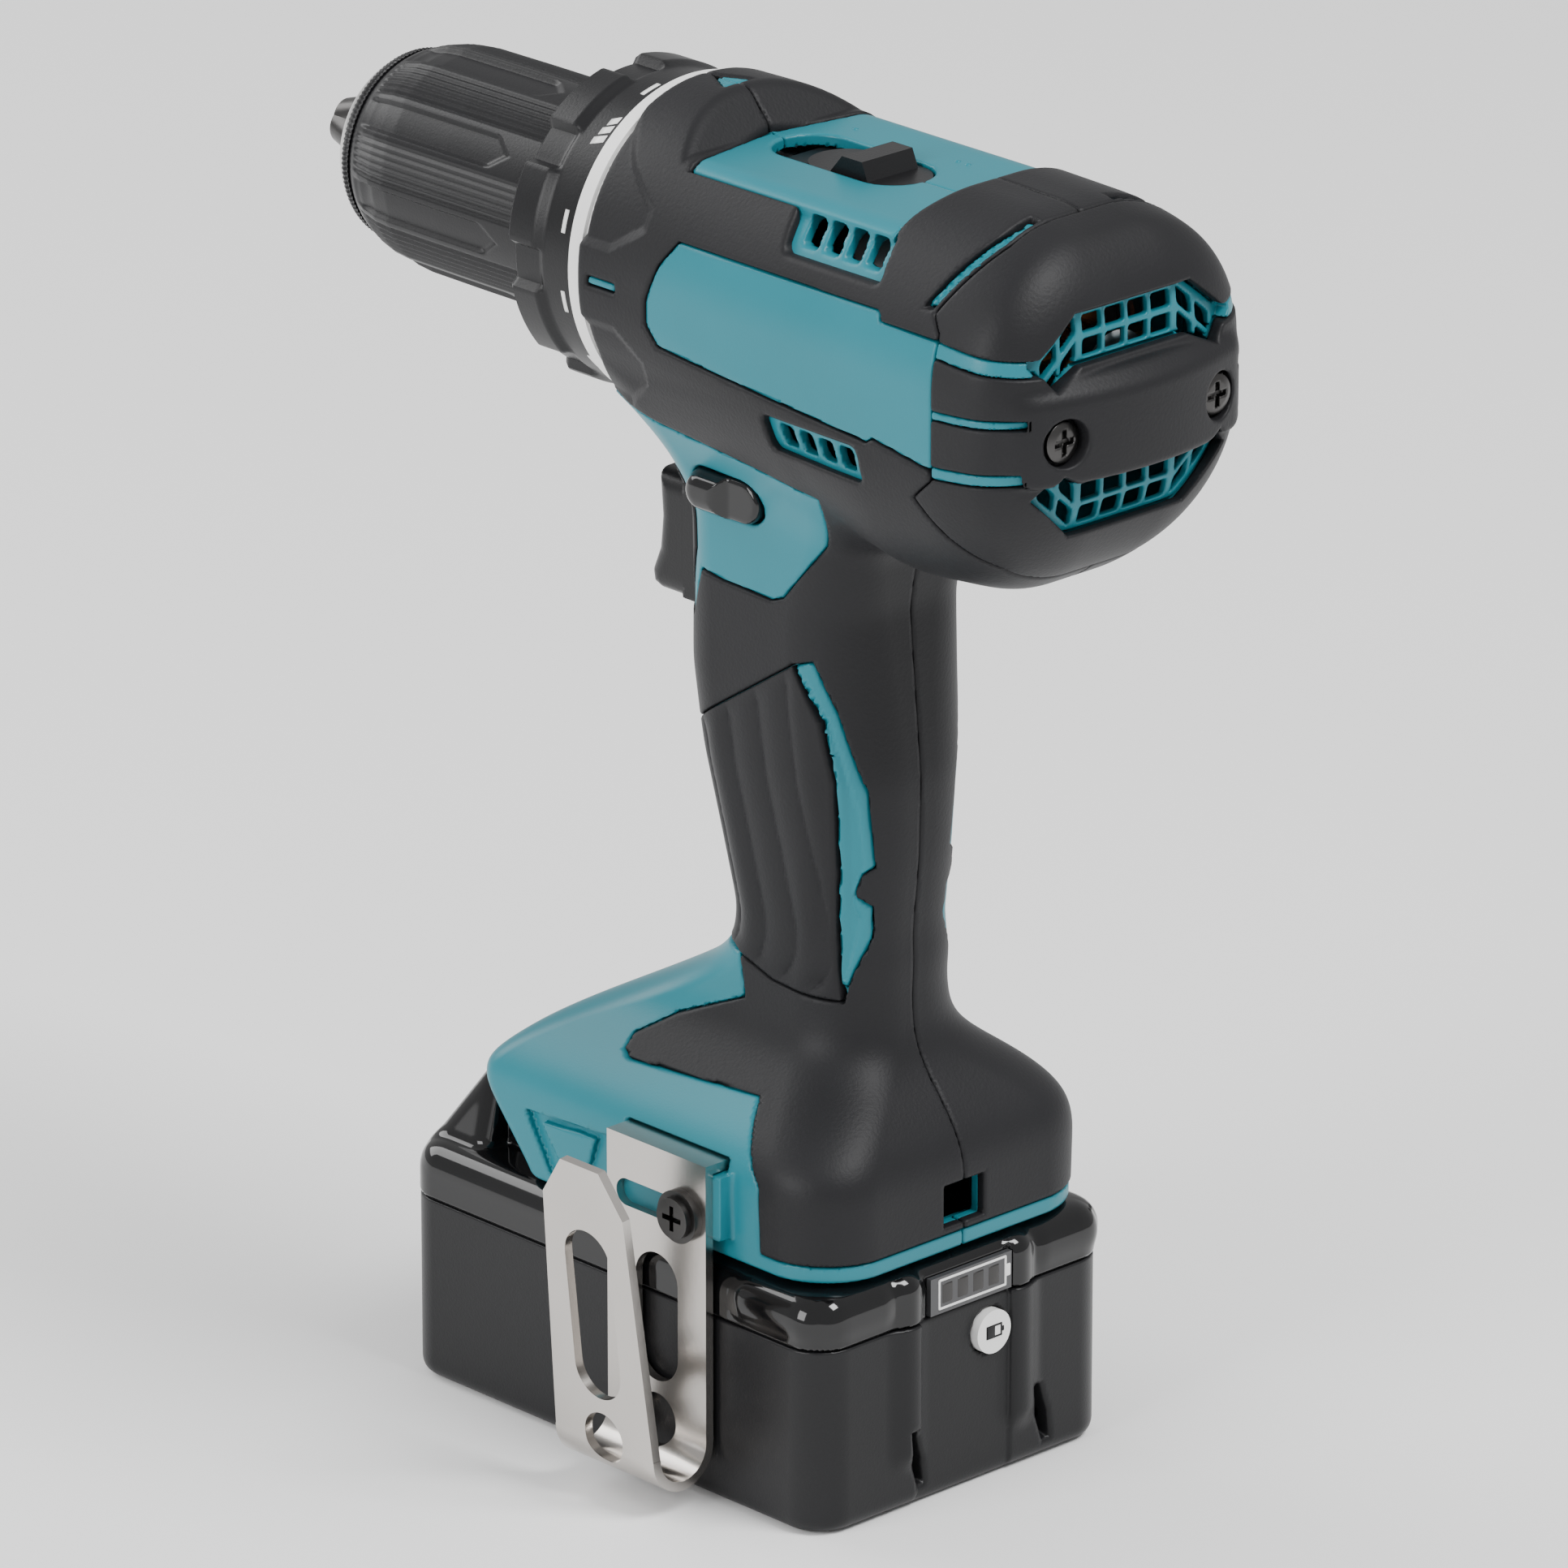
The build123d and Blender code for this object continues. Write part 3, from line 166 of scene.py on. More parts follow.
def rounded_box(u, v, half_u, half_v, radius):
    du = np.abs(u) - half_u + radius
    dv = np.abs(v) - half_v + radius
    outside = np.sqrt(np.maximum(du, 0.0) ** 2 + np.maximum(dv, 0.0) ** 2)
    return outside + np.minimum(np.maximum(du, dv), 0.0) - radius


def box_field(x, y, z, x0, x1, y0, y1, z0, z1):
    along = np.maximum(x0 - x, x - x1)
    across = np.maximum(y0 - y, y - y1)
    return np.maximum(np.maximum(along, across), np.maximum(z0 - z, z - z1))


def cylinder_x(x, y, z, radius, x0, x1, cy=0.0, cz=SPINDLE_Z):
    ring = np.sqrt((y - cy) ** 2 + (z - cz) ** 2) - radius
    return np.maximum(ring, np.maximum(x0 - x, x - x1))


def polygon(u, v, points):
    """Signed distance to a closed outline."""
    nearest = None
    inside = np.zeros(np.broadcast(u, v).shape, dtype=bool)
    for (u0, v0), (u1, v1) in zip(points, points[1:] + points[:1]):
        along_u, along_v = u1 - u0, v1 - v0
        place = ((u - u0) * along_u + (v - v0) * along_v) / (along_u ** 2 + along_v ** 2)
        place = np.clip(place, 0.0, 1.0)
        distance = (u - u0 - along_u * place) ** 2 + (v - v0 - along_v * place) ** 2
        nearest = distance if nearest is None else np.minimum(nearest, distance)
        if v0 != v1:
            beside = (v >= min(v0, v1)) & (v < max(v0, v1))
            inside ^= beside & (u < u0 + along_u * (v - v0) / along_v)
    return np.where(inside, -1.0, 1.0) * np.sqrt(nearest)


def barrel_field(x, y, z):
    half_width, low, high, radius = [column(x) for column in BARREL_TABLE]
    half_height = (high - low) / 2
    radius = np.minimum(radius, np.minimum(half_width, half_height) - 0.2)
    field = rounded_box(y, z - (low + high) / 2, half_width, half_height, radius)
    field = smooth_max(field, -98.0 - x, 9.0)
    return smooth_max(field, x - 11.0, 1.5)


def grip_field(x, y, z):
    rear, front, half_width, radius = [column(z) for column in GRIP_TABLE]
    half_depth = (front - rear) / 2
    radius = np.where(x > (rear + front) / 2, FRONT_RADIUS(z), radius)
    radius = np.minimum(radius, half_width - 0.2)
    field = rounded_box(x - (rear + front) / 2, y, half_depth, half_width, radius)
    field = smooth_max(field, FOOT_BOTTOM_Z - z, 1.0)
    return smooth_max(field, z - 200.0, 1.0)


def body_form(x, y, z):
    """The outer form of the tool body, rubber included."""
    field = smooth_min(barrel_field(x, y, z), grip_field(x, y, z), 9.0)
    notch = np.maximum(np.maximum(x - TOP_PANEL_X[1] - 0.9 * (z - TOP_PANEL_Z),
                                  TOP_PANEL_X[0] - 0.6 * (z - TOP_PANEL_Z) - x), TOP_PANEL_Z - z)
    return smooth_max(field, -notch, 1.6)


def step_in(distance, depth, width=0.9):
    """A step of the given depth, inward where the distance is negative."""
    return depth * np.clip(0.5 - distance / (2 * width), 0.0, 1.0)


def rubber_form(x, y, z):
    """The outer form with the rubber's raised and lowered bands."""
    field = body_form(x, y, z)
    for outline in FRONT_FACETS:
        field = field + step_in(polygon(x, z, outline), 0.8)
    return field


def top_panel_window(x, y, z):
    side = np.abs(y)
    front = x - TOP_PANEL_X[1] - 1.0 + 0.16 * side
    return np.maximum(np.maximum(side - 22.6, 241.5 - z), np.maximum(TOP_PANEL_X[0] - 1 - x, front))


def marker_windows(x, y, z):
    """The pointer on top and the dash on each side that the torque ring's marks are read against."""
    pointer = np.maximum(polygon(x, y, [(8.6, 0.0), (2.0, -3.6), (2.0, 3.6)]), 247.0 - z)
    dash = np.maximum(rounded_box(x - 4.6, z - 222.0, 3.6, 0.9, 0.3), 20.0 - np.abs(y))
    return np.minimum(pointer, dash)


def cover_seam_window(x, y, z):
    """Slanted channel in front of the rear cover, either side of the top."""
    away = polygon(x, z, REAR_REGION)
    strip = np.maximum(0.9 - away, away - 2.9)
    return np.maximum(strip, np.maximum(236.5 - z, 9.0 - np.abs(y)))


def windows(x, y, z):
    """Where the rubber is left open."""
    field = top_panel_window(x, y, z)
    for outline in (SIDE_PANEL, TRIGGER_PANEL, FOOT_PANEL):
        field = np.minimum(field, polygon(x, z, outline))
    field = np.minimum(field, np.maximum(polygon(x, z, HANDLE_INLAY), 8.0 - np.abs(y)))
    field = np.minimum(field, marker_windows(x, y, z))
    return np.minimum(field, cover_seam_window(x, y, z))


def vent_frames(x, y, z):
    """Rounded openings in the rubber around the side vents."""
    field = None
    for low, high in VENTS_Z:
        middle = (low + high) / 2
        lean = x - 0.25 * (z - middle)
        frame_field = rounded_box(lean - sum(VENT_X) / 2, z - middle, 12.2, (high - low) / 2 + 0.9, 1.4)
        field = frame_field if field is None else np.minimum(field, frame_field)
    return field


def vent_slots(x, y, z):
    """Air slots through the side of the housing, with slanted ribs between them."""
    field = None
    pitch = (VENT_X[1] - VENT_X[0]) / 4
    for low, high in VENTS_Z:
        middle = (low + high) / 2
        for index in range(4):
            centre = VENT_X[0] + (index + 0.5) * pitch
            slot = rounded_box(x - centre - 0.25 * (z - middle), z - middle, pitch / 2 - 0.75,
                               (high - low) / 2 - 0.3, 0.8)
            field = slot if field is None else np.minimum(field, slot)
    return field


def selector_slot(x, y, z):
    """Round-ended slot in the top panel that the speed selector slides in."""
    middle = (SLOT_X[0] + SLOT_X[1]) / 2
    half = (SLOT_X[1] - SLOT_X[0]) / 2
    return np.maximum(rounded_box(x - middle, y, half, SLOT_HALF_WIDTH, SLOT_HALF_WIDTH), 240.0 - z)


def lever_hole(x, y, z, play=0.0):
    """Rounded hole through both sides for the direction lever, smaller all round by play."""
    half_x = (LEVER_X[1] - LEVER_X[0]) / 2
    half_z = (LEVER_Z[1] - LEVER_Z[0]) / 2
    return rounded_box(x - sum(LEVER_X) / 2, z - sum(LEVER_Z) / 2, half_x - play, half_z - play,
                       half_z - play)


def pockets(x, y, z):
    """Room for the trigger, lever, selector, battery tower, strap and chuck end."""
    field = box_field(x, y, z, -36, 40, -10.6, 10.6, 155.4, 180.2)
    field = np.minimum(field, lever_hole(x, y, z))
    field = np.minimum(field, selector_slot(x, y, z))
    field = np.minimum(field, box_field(x, y, z, -57, -4, -11, 11, 240, 243.5))
    field = np.minimum(field, box_field(x, y, z, -50, 60, -26, 26, 40, 62.4))
    field = np.minimum(field, box_field(x, y, z, -60, -50, -5, 5, 52, 60))
    field = np.minimum(field, cylinder_x(x, y, z, 29.6, 9.0, 60.0))
    return np.minimum(field, cylinder_x(x, y, z, 25.6, -4.0, 60.0))


def clip_pad(x, y, z):
    """Raised pad under the belt clip, with its slot for the clip's flange."""
    side = np.abs(y)
    return box_field(x, side, z, -33, -3, 29, 37.9, 51.5, 63.8)


def clip_hook_slot(x, y, z):
    return box_field(x, np.abs(y), z, -31.5, -4.5, 32.5, 60, 63.9, 66.3)


def housing_field(x, y, z):
    form = body_form(x, y, z)
    open_places = windows(x, y, z)
    deeper = step_in(polygon(x, z, INLAY_LINE), 0.5, 0.4) + step_in(cover_seam_window(x, y, z), 0.8)
    panels = smooth_max(form + PANEL_STEP + deeper, open_places + SEAM, 0.35)
    field = np.minimum(form + SKIN + 0.1, panels)
    recess = np.maximum(polygon(x, z, BRACKET_WINDOW), -polygon(x, z, BRACKET_WINDOW_INNER) + 0.6)
    field = cut(field, np.maximum(recess, 33.6 - np.abs(y)), 0.4)
    field = np.maximum(field, -(form + SHELL))
    field = smooth_min(field, clip_pad(x, y, z), 1.0)
    field = cut(field, pockets(x, y, z))
    field = cut(field, clip_hook_slot(x, y, z))
    field = cut(field, vent_slots(x, y, z), 0.4)
    field = cut(field, polygon(x, z, REAR_REGION))
    return smooth_max(field, -y, 0.5)


def overmould_field(x, y, z):
    form = rubber_form(x, y, z)
    field = np.maximum(form, -(form + RUBBER_DEPTH))
    field = cut(field, windows(x, y, z), 0.7)
    field = cut(field, polygon(x, z, GRIP_INSERT), 0.7)
    field = cut(field, vent_frames(x, y, z), 0.9)
    field = cut(field, pockets(x, y, z), 0.7)
    field = cut(field, clip_pad(x, y, z) - 0.4)
    field = cut(field, clip_hook_slot(x, y, z))
    field = cut(field, polygon(x, z, REAR_REGION), 0.7)
    return smooth_max(field, -y, 0.6)


def grip_insert_field(x, y, z):
    """Ribbed front of the handle."""
    form = body_form(x, y, z)
    behind = GRIP_TABLE[1](z) - x
    phase = np.mod(behind + 1.5, 8.0) / 8.0
    ribs = 0.75 * np.abs(np.sin(math.pi * phase)) ** 0.6
    fade = np.clip(-polygon(x, z, GRIP_INSERT) / 3.0, 0.0, 1.0)
    field = form + 0.75 * fade - ribs * fade
    field = np.maximum(field, -(form + RUBBER_DEPTH))
    field = smooth_max(field, polygon(x, z, GRIP_INSERT) + SEAM, 0.6)
    return smooth_max(field, -y, 0.5)


# ---- turning fields into meshes ----
CORNERS = [(i, j, k) for i in (0, 1) for j in (0, 1) for k in (0, 1)]
CELL_EDGES = [(a, b) for a in range(8) for b in range(a + 1, 8)
              if sum(abs(CORNERS[a][n] - CORNERS[b][n]) for n in range(3)) == 1]


def surface_points(values, axes, step):
    """One point in each grid cell that the surface passes through, and the cells' numbering."""
    inside = values < 0
    count = np.zeros([n - 1 for n in values.shape], dtype=np.int8)
    for i, j, k in CORNERS:
        count += inside[i:i + count.shape[0], j:j + count.shape[1], k:k + count.shape[2]]
    cells = np.argwhere((count > 0) & (count < 8))
    number = np.full(count.shape, -1, dtype=np.int64)
    number[tuple(cells.T)] = np.arange(len(cells))
    corner_values = [values[cells[:, 0] + i, cells[:, 1] + j, cells[:, 2] + k] for i, j, k in CORNERS]
    total = np.zeros((len(cells), 3))
    hits = np.zeros(len(cells))
    for a, b in CELL_EDGES:
        va, vb = corner_values[a], corner_values[b]
        crossed = (va < 0) != (vb < 0)
        along = np.where(crossed, va / np.where(crossed, va - vb, 1.0), 0.0)
        start, end = np.array(CORNERS[a]), np.array(CORNERS[b])
        total += crossed[:, None] * (start + along[:, None] * (end - start))
        hits += crossed
    origin = np.array([axis[0] for axis in axes])
    return origin + step * (cells + total / hits[:, None]), number, inside


def surface_quads(number, inside):
    """Four-sided faces across every grid edge that the surface crosses."""
    quads = []
    for axis in range(3):
        first, second = [n for n in range(3) if n != axis]
        low = [slice(None)] * 3
        high = [slice(None)] * 3
        low[axis], high[axis] = slice(None, -1), slice(1, None)
        a, b = inside[tuple(low)], inside[tuple(high)]
        edges = np.argwhere(a != b)
        keep = (edges[:, first] > 0) & (edges[:, second] > 0)
        keep &= (edges[:, first] < inside.shape[first] - 1) & (edges[:, second] < inside.shape[second] - 1)
        edges = edges[keep]
        ring = []
        for du, dv in ((-1, -1), (0, -1), (0, 0), (-1, 0)):
            place = edges.copy()
            place[:, first] += du
            place[:, second] += dv
            ring.append(number[tuple(place.T)])
        quad = np.stack(ring, axis=1)
        leaving = a[tuple(edges.T)]
        flip = leaving if axis == 1 else ~leaving
        quad[flip] = quad[flip][:, ::-1]
        quads.append(quad)
    return np.concatenate(quads)


def gradient(field, points, reach):
    slopes = []
    for axis in range(3):
        offset = np.zeros(3)
        offset[axis] = reach
        ahead = field(*(points + offset).T)
        behind = field(*(points - offset).T)
        slopes.append((ahead - behind) / (2 * reach))
    return np.stack(slopes, axis=1)


def mesh_object(name, points, faces, normals=None):
    """A mesh object from points in millimetres and four-sided faces."""
    mesh = bpy.data.meshes.new(name)
    mesh.vertices.add(len(points))
    mesh.vertices.foreach_set("co", (points * MM).astype(np.float32).ravel())
    mesh.loops.add(4 * len(faces))
    mesh.loops.foreach_set("vertex_index", faces.astype(np.int32).ravel())
    mesh.polygons.add(len(faces))
    mesh.polygons.foreach_set("loop_start", np.arange(0, 4 * len(faces), 4, dtype=np.int32))
    mesh.polygons.foreach_set("use_smooth", np.ones(len(faces), dtype=bool))
    mesh.update(calc_edges=True)
    mesh.validate()
    if normals is not None and len(mesh.vertices) == len(normals):
        mesh.normals_split_custom_set_from_vertices(normals.astype(np.float32))
    obj = bpy.data.objects.new(name, mesh)
    bpy.context.scene.collection.objects.link(obj)
    return obj


def moulded(name, field, low, high, step, mirror=False):
    """A moulded piece: the zero surface of a field inside a box, and its mirror image if asked."""
    axes = [np.arange(low[n] - step, high[n] + 2 * step, step) for n in range(3)]
    grid = np.broadcast_to(field(axes[0][:, None, None], axes[1][None, :, None], axes[2][None, None, :]),
                           [len(axis) for axis in axes])
    points, number, inside = surface_points(grid, axes, step)
    for _ in range(2):
        slope = gradient(field, points, 0.15)
        size = np.maximum((slope ** 2).sum(axis=1), 0.25)
        move = -(field(*points.T) / size)[:, None] * slope
        points = points + np.clip(move, -0.3 * step, 0.3 * step)
    normals = gradient(field, points, 0.2)
    normals /= np.maximum(np.linalg.norm(normals, axis=1), 1e-6)[:, None]
    faces = surface_quads(number, inside)
    objects = [mesh_object(name.format("left"), points, faces, normals)]
    if mirror:
        flip = np.array([1.0, -1.0, 1.0])
        objects.append(mesh_object(name.format("right"), points * flip, faces[:, ::-1], normals * flip))
    return objects


# ---- rear motor cover ----
COVER_SCREW = (18.7, 215.4)


def grille_cells(x, y, z):
    """Air openings: four by two in the middle and slanted ones at each end, above and below the bar."""
    side = np.abs(y)
    field = None
    for sign, middle in ((1.0, 232.0), (-1.0, 201.4)):
        for row in (-1, 1):
            for column in (0.5, 1.5):
                cell = rounded_box(side - 5.6 * column, z - middle - row * 2.15, 2.35, 1.6, 0.6)
                field = cell if field is None else np.minimum(field, cell)
            slant = z - middle + sign * 0.85 * (side - 12.5)
            for column in (0, 1):
                cell = rounded_box(side - 14.2 - 4.6 * column, slant - row * 2.3, 1.8, 1.6, 0.6)
                field = np.minimum(field, cell)
    return np.maximum(field, x + 84.0)


def grille_windows(x, y, z):
    """Rounded trapezoid openings in the bumper around the grilles."""
    upper = [(-19.5, 224.5), (-23.5, 229.5), (-14.0, 237.0), (14.0, 237.0), (23.5, 229.5), (19.5, 224.5),
             (13.0, 227.5), (-13.0, 227.5)]
    lower = [(-19.0, 209.3), (-23.5, 205.0), (-14.0, 196.3), (14.0, 196.3), (23.5, 205.0), (19.0, 209.3),
             (13.0, 206.0), (-13.0, 206.0)]
    field = np.minimum(polygon(y, z, upper), polygon(y, z, lower))
    return np.maximum(field, x + 86.0)


def cover_stripes(x, y, z):
    """Stripes where the cover shows between the bumper's bands on each side."""
    side = np.abs(y)
    drop = 0.05 * (-80.0 - x)
    upper = np.abs(z - 230.6 + drop * 2) - 1.5
    lower = np.abs(z - 208.5 - drop) - 1.2
    middle = np.maximum(np.abs(z - 219.0 - drop * 0.5) - 0.9, -99.0 - x)
    bands = np.minimum(np.minimum(upper, lower), middle)
    return np.maximum(bands, 20.0 - side)


def bar_field(x, y, z):
    """Protruding bar across the middle of the rear cover."""
    face = -102.9 + 0.0072 * y ** 2
    front = face - x
    slope = (z - 222.5) * 0.72 + (face - x) * 0.72 - 0.5
    field = smooth_max(front, z - 226.5, 1.2)
    field = smooth_max(field, 207.5 - z, 1.5)
    field = smooth_max(field, slope, 1.2)
    return smooth_max(field, np.abs(y) - 29.0 + 0.0 * x, 6.0)


def screw_wells(x, y, z):
    side = np.abs(y)
    return cylinder_x(x, side, z, 4.4, -120.0, -97.6, *COVER_SCREW)


def rear_region(x, y, z):
    return polygon(x, z, REAR_REGION)


def rear_cover_field(x, y, z):
    form = body_form(x, y, z)
    window = np.minimum(grille_windows(x, y, z), cover_stripes(x, y, z))
    sunk = 0.3 + step_in(grille_windows(x, y, z) - 0.6, 2.0, 0.5)
    panels = smooth_max(form + sunk, window + SEAM, 0.3)
    field = np.minimum(form + SKIN + 0.1 + sunk, panels)
    field = np.maximum(field, -(form + SHELL))
    field = cut(field, grille_cells(x, y, z), 0.4)
    field = cut(field, cylinder_x(x, np.abs(y), z, 1.7, -120.0, -70.0, *COVER_SCREW))
    return smooth_max(field, rear_region(x, y, z) + 0.15, 0.5)


def bumper_field(x, y, z):
    form = body_form(x, y, z)
    outer = smooth_min(form, np.maximum(bar_field(x, y, z), x + 88.0), 0.9)
    field = np.maximum(outer, -(form + RUBBER_DEPTH))
    field = cut(field, grille_windows(x, y, z), 0.7)
    field = cut(field, np.maximum(cover_stripes(x, y, z), form - 0.6), 0.5)
    field = cut(field, screw_wells(x, y, z), 0.6)
    return smooth_max(field, rear_region(x, y, z) + 0.15, 0.7)


def cover_screw_field(x, y, z):
    """Two sunk screws with cross recesses."""
    side = np.abs(y)
    head = cylinder_x(x, side, z, 3.8, -99.6, -97.4, *COVER_SCREW)
    dome = np.sqrt((x + 91.0) ** 2 + (side - COVER_SCREW[0]) ** 2 + (z - COVER_SCREW[1]) ** 2) - 8.9
    field = np.maximum(head, dome)
    u, v = side - COVER_SCREW[0], z - COVER_SCREW[1]
    cross = np.minimum(np.maximum(np.abs(u) - 0.55, np.abs(v) - 2.3),
                       np.maximum(np.abs(v) - 0.55, np.abs(u) - 2.3))
    field = cut(field, np.maximum(cross, x + 98.4), 0.2)
    return np.minimum(field, cylinder_x(x, side, z, 1.6, -98.0, -84.0, *COVER_SCREW))


# ---- battery cases ----
def battery_plan(x, y, inset, radius):
    return rounded_box(x - BATTERY_CENTRE_X, y, BATTERY_HALF[0] - inset, BATTERY_HALF[1] - inset, radius)


def battery_scoops(x, y, z):
    """Two drop-shaped hollows at the lower rear edge."""
    field = None
    for centre in (-19.5, 12.0):
        width = 1.9 - 0.12 * np.abs(z - 8.5)
        scoop = np.abs(y - centre - 0.22 * (z - 9)) - width
        scoop = np.maximum(scoop, np.maximum(3.0 - z, z - 15.0)) + 0.35 * (x + 58.0)
        field = scoop if field is None else np.minimum(field, scoop)
    return field


def rear_panel_recess(x, y, z):
    """Shallow flat between the two upright ribs at the rear of the battery."""
    return np.maximum(rounded_box(y - 0.4, z - 22.0, 11.2, 30.0, 1.5), x + 57.3)


def capsule(x, y, z, start, end, radius):
    along = np.array(end) - np.array(start)
    place = ((x - start[0]) * along[0] + (y - start[1]) * along[1] + (z - start[2]) * along[2])
    place = np.clip(place / (along ** 2).sum(), 0.0, 1.0)
    return np.sqrt((x - start[0] - place * along[0]) ** 2 + (y - start[1] - place * along[1]) ** 2
                   + (z - start[2] - place * along[2]) ** 2) - radius


def rear_ribs(x, y, z, low, high):
    """Upright rounded ribs either side of the gauge."""
    left = capsule(x, y, z, (-55.4, 14.2, low), (-55.4, 14.2, high), 3.4)
    right = capsule(x, y, z, (-55.4, -13.6, low), (-55.4, -13.6, high), 3.4)
    return np.minimum(left, right)


def lower_case_field(x, y, z):
    field = smooth_max(battery_plan(x, y, 0.5, 8.0), -z, 3.2)
    field = smooth_min(field, rear_ribs(x, y, z, 12.0, 40.0), 3.0)
    field = smooth_max(field, z - BATTERY_PARTING_Z + 0.12, 0.5)
    field = cut(field, rear_panel_recess(x, y, z), 1.2)
    field = cut(field, battery_scoops(x, y, z), 0.8)
    field = cut(field, cylinder_x(x, y, z, 4.45, -70, -55, -6.2, 29.0), 0.4)
    hollow = np.maximum(battery_plan(x, y, 3.6, 5.0), 2.0 - z)
    return np.maximum(field, -hollow)


def shoulder_bulges(x, y, z):
    """Rounded bulges along the rear corners of the upper case."""
    side = np.abs(y)
    along_side = capsule(x, side, z, (-51.5, 33.0, 40.5), (-38.0, 33.0, 40.5), 4.4)
    along_rear = capsule(x, side, z, (-53.4, 31.0, 40.5), (-53.4, 21.0, 40.5), 4.4)
    return np.minimum(along_side, along_rear)


def upper_case_field(x, y, z):
    shoulder = battery_plan(x, y, 0.4, 8.0)
    deck = smooth_max(shoulder, z - BATTERY_DECK_Z + 0.3, 6.0)
    bulges = np.minimum(rear_ribs(x, y, z, 34.0, 42.0), shoulder_bulges(x, y, z))
    deck = smooth_min(deck, bulges, 1.6)
    tower = box_field(x, y, z, -48.0, 38.0, -25.4, 25.4, 40.0, 60.0)
    slope = (x - 53.0) * 0.82 + (z - 45.0) * 0.57
    front = smooth_max(np.maximum(37.4 - x, x - 53.8), slope, 2.0)
    front = smooth_max(front, np.abs(y) - 31.0 + 0.25 * (z - 46.5), 4.0)
    front = smooth_max(front, z - 62.0, 2.0)
    field = np.minimum(smooth_min(deck, front, 1.5), tower)
    field = smooth_max(field, BATTERY_PARTING_Z + 0.12 - z, 0.5)
    field = cut(field, np.maximum(box_field(x, y, z, -60, -56.8, -11.2, 9.9, 30, 43.8), x + 56.8), 0.6)
    hollow = np.maximum(np.maximum(battery_plan(x, y, 2.4, 5.0), z - 44.0), x - 40.0)
    hollow = np.minimum(hollow, box_field(x, y, z, -46, 36, -23.4, 23.4, 40, 58))
    field = np.maximum(field, -hollow)
    for centre in (-9, 0, 9):
        field = cut(field, box_field(x, y, z, -52, -13, centre - 1.0, centre + 1.0, 50, 62))
    return cut(field, box_field(x, y, z, 43.2, 60, -11.4, 11.4, 38.5, 70), 0.5)


# ---- turned parts on the spindle axis ----
def turned(name, outline, count, relief=None):
    """A ring of revolution about the spindle axis. Relief is how far the surface sinks at x, r, angle."""
    angles = np.arange(count) * 2 * math.pi / count
    x = np.array([place for place, _ in outline], dtype=float)[:, None] + 0.0 * angles
    radius = np.array([size for _, size in outline], dtype=float)[:, None] + 0.0 * angles
    if relief is not None:
        radius = radius - relief(x, radius, angles[None, :])
    points = np.stack([x, radius * np.cos(angles), SPINDLE_Z + radius * np.sin(angles)], axis=-1)
    rows = np.arange(len(outline))
    number = rows[:, None] * count + np.arange(count)[None, :]
    beyond = np.roll(number, -1, axis=0)
    faces = np.stack([number, np.roll(number, -1, axis=1), np.roll(beyond, -1, axis=1), beyond], axis=-1)
    obj = mesh_object(name, points.reshape(-1, 3), faces.reshape(-1, 4))
    obj.data.set_sharp_from_angle(angle=math.radians(35))
    return obj


def closely(start, end, spacing):
    """Outline points from one point to another at a close spacing, without the last."""
    (x0, r0), (x1, r1) = start, end
    steps = max(int(math.hypot(x1 - x0, r1 - r0) / spacing), 1)
    return [(x0 + (x1 - x0) * n / steps, r0 + (r1 - r0) * n / steps) for n in range(steps)]


def outline_through(corners, spacing):
    points = []
    for start, end in zip(corners, corners[1:] + corners[:1]):
        points += closely(start, end, spacing)
    return points


def rise(value, low, high):
    """Smooth change from 0 at low to 1 at high."""
    t = np.clip((value - low) / (high - low), 0.0, 1.0)
    return t * t * (3 - 2 * t)


SLEEVE_SECTORS = 8
RING_GRIPS = 8


def sleeve_relief(x, radius, angle):
    """Bands of fine lengthwise grooves, and between them shallow panels with slanted ends."""
    place = np.mod(angle * SLEEVE_SECTORS / (2 * math.pi), 1.0)
    outer = rise(radius, 18.9, 19.5)
    fine = 0.35 * (0.5 - 0.5 * np.cos(place * 2 * math.pi * 12)) * (place < 0.5)
    fine = fine * rise(x, 35.5, 37.0) * (1 - rise(x, 82.5, 85.5))
    inner = 1 - rise(np.abs(place - 0.75), 0.15, 0.20)
    slant = 44.0 + 22.0 * np.abs(place - 0.75)
    panel = 0.9 * inner * rise(x, slant - 1.2, slant + 1.2) * (1 - rise(x, 79.0, 86.0))
    return outer * (fine + panel)


def ring_relief(x, radius, angle):
    """Broad grips round the front half of the torque ring."""
    place = np.abs(np.mod(angle * RING_GRIPS / (2 * math.pi) + 0.1, 1.0) - 0.5)
    gap = rise(place, 0.30, 0.36) * rise(x, 22.0, 24.0)
    return gap * 1.7 * rise(radius, 27.0, 27.8)


def knurl_relief(x, radius, angle):
    """Fine knurling on the band in front of the sleeve."""
    cross = np.sin(angle * 60 + x * 2.2) * np.sin(angle * 60 - x * 2.2)
    return 0.22 * cross * rise(radius, 17.5, 17.7)


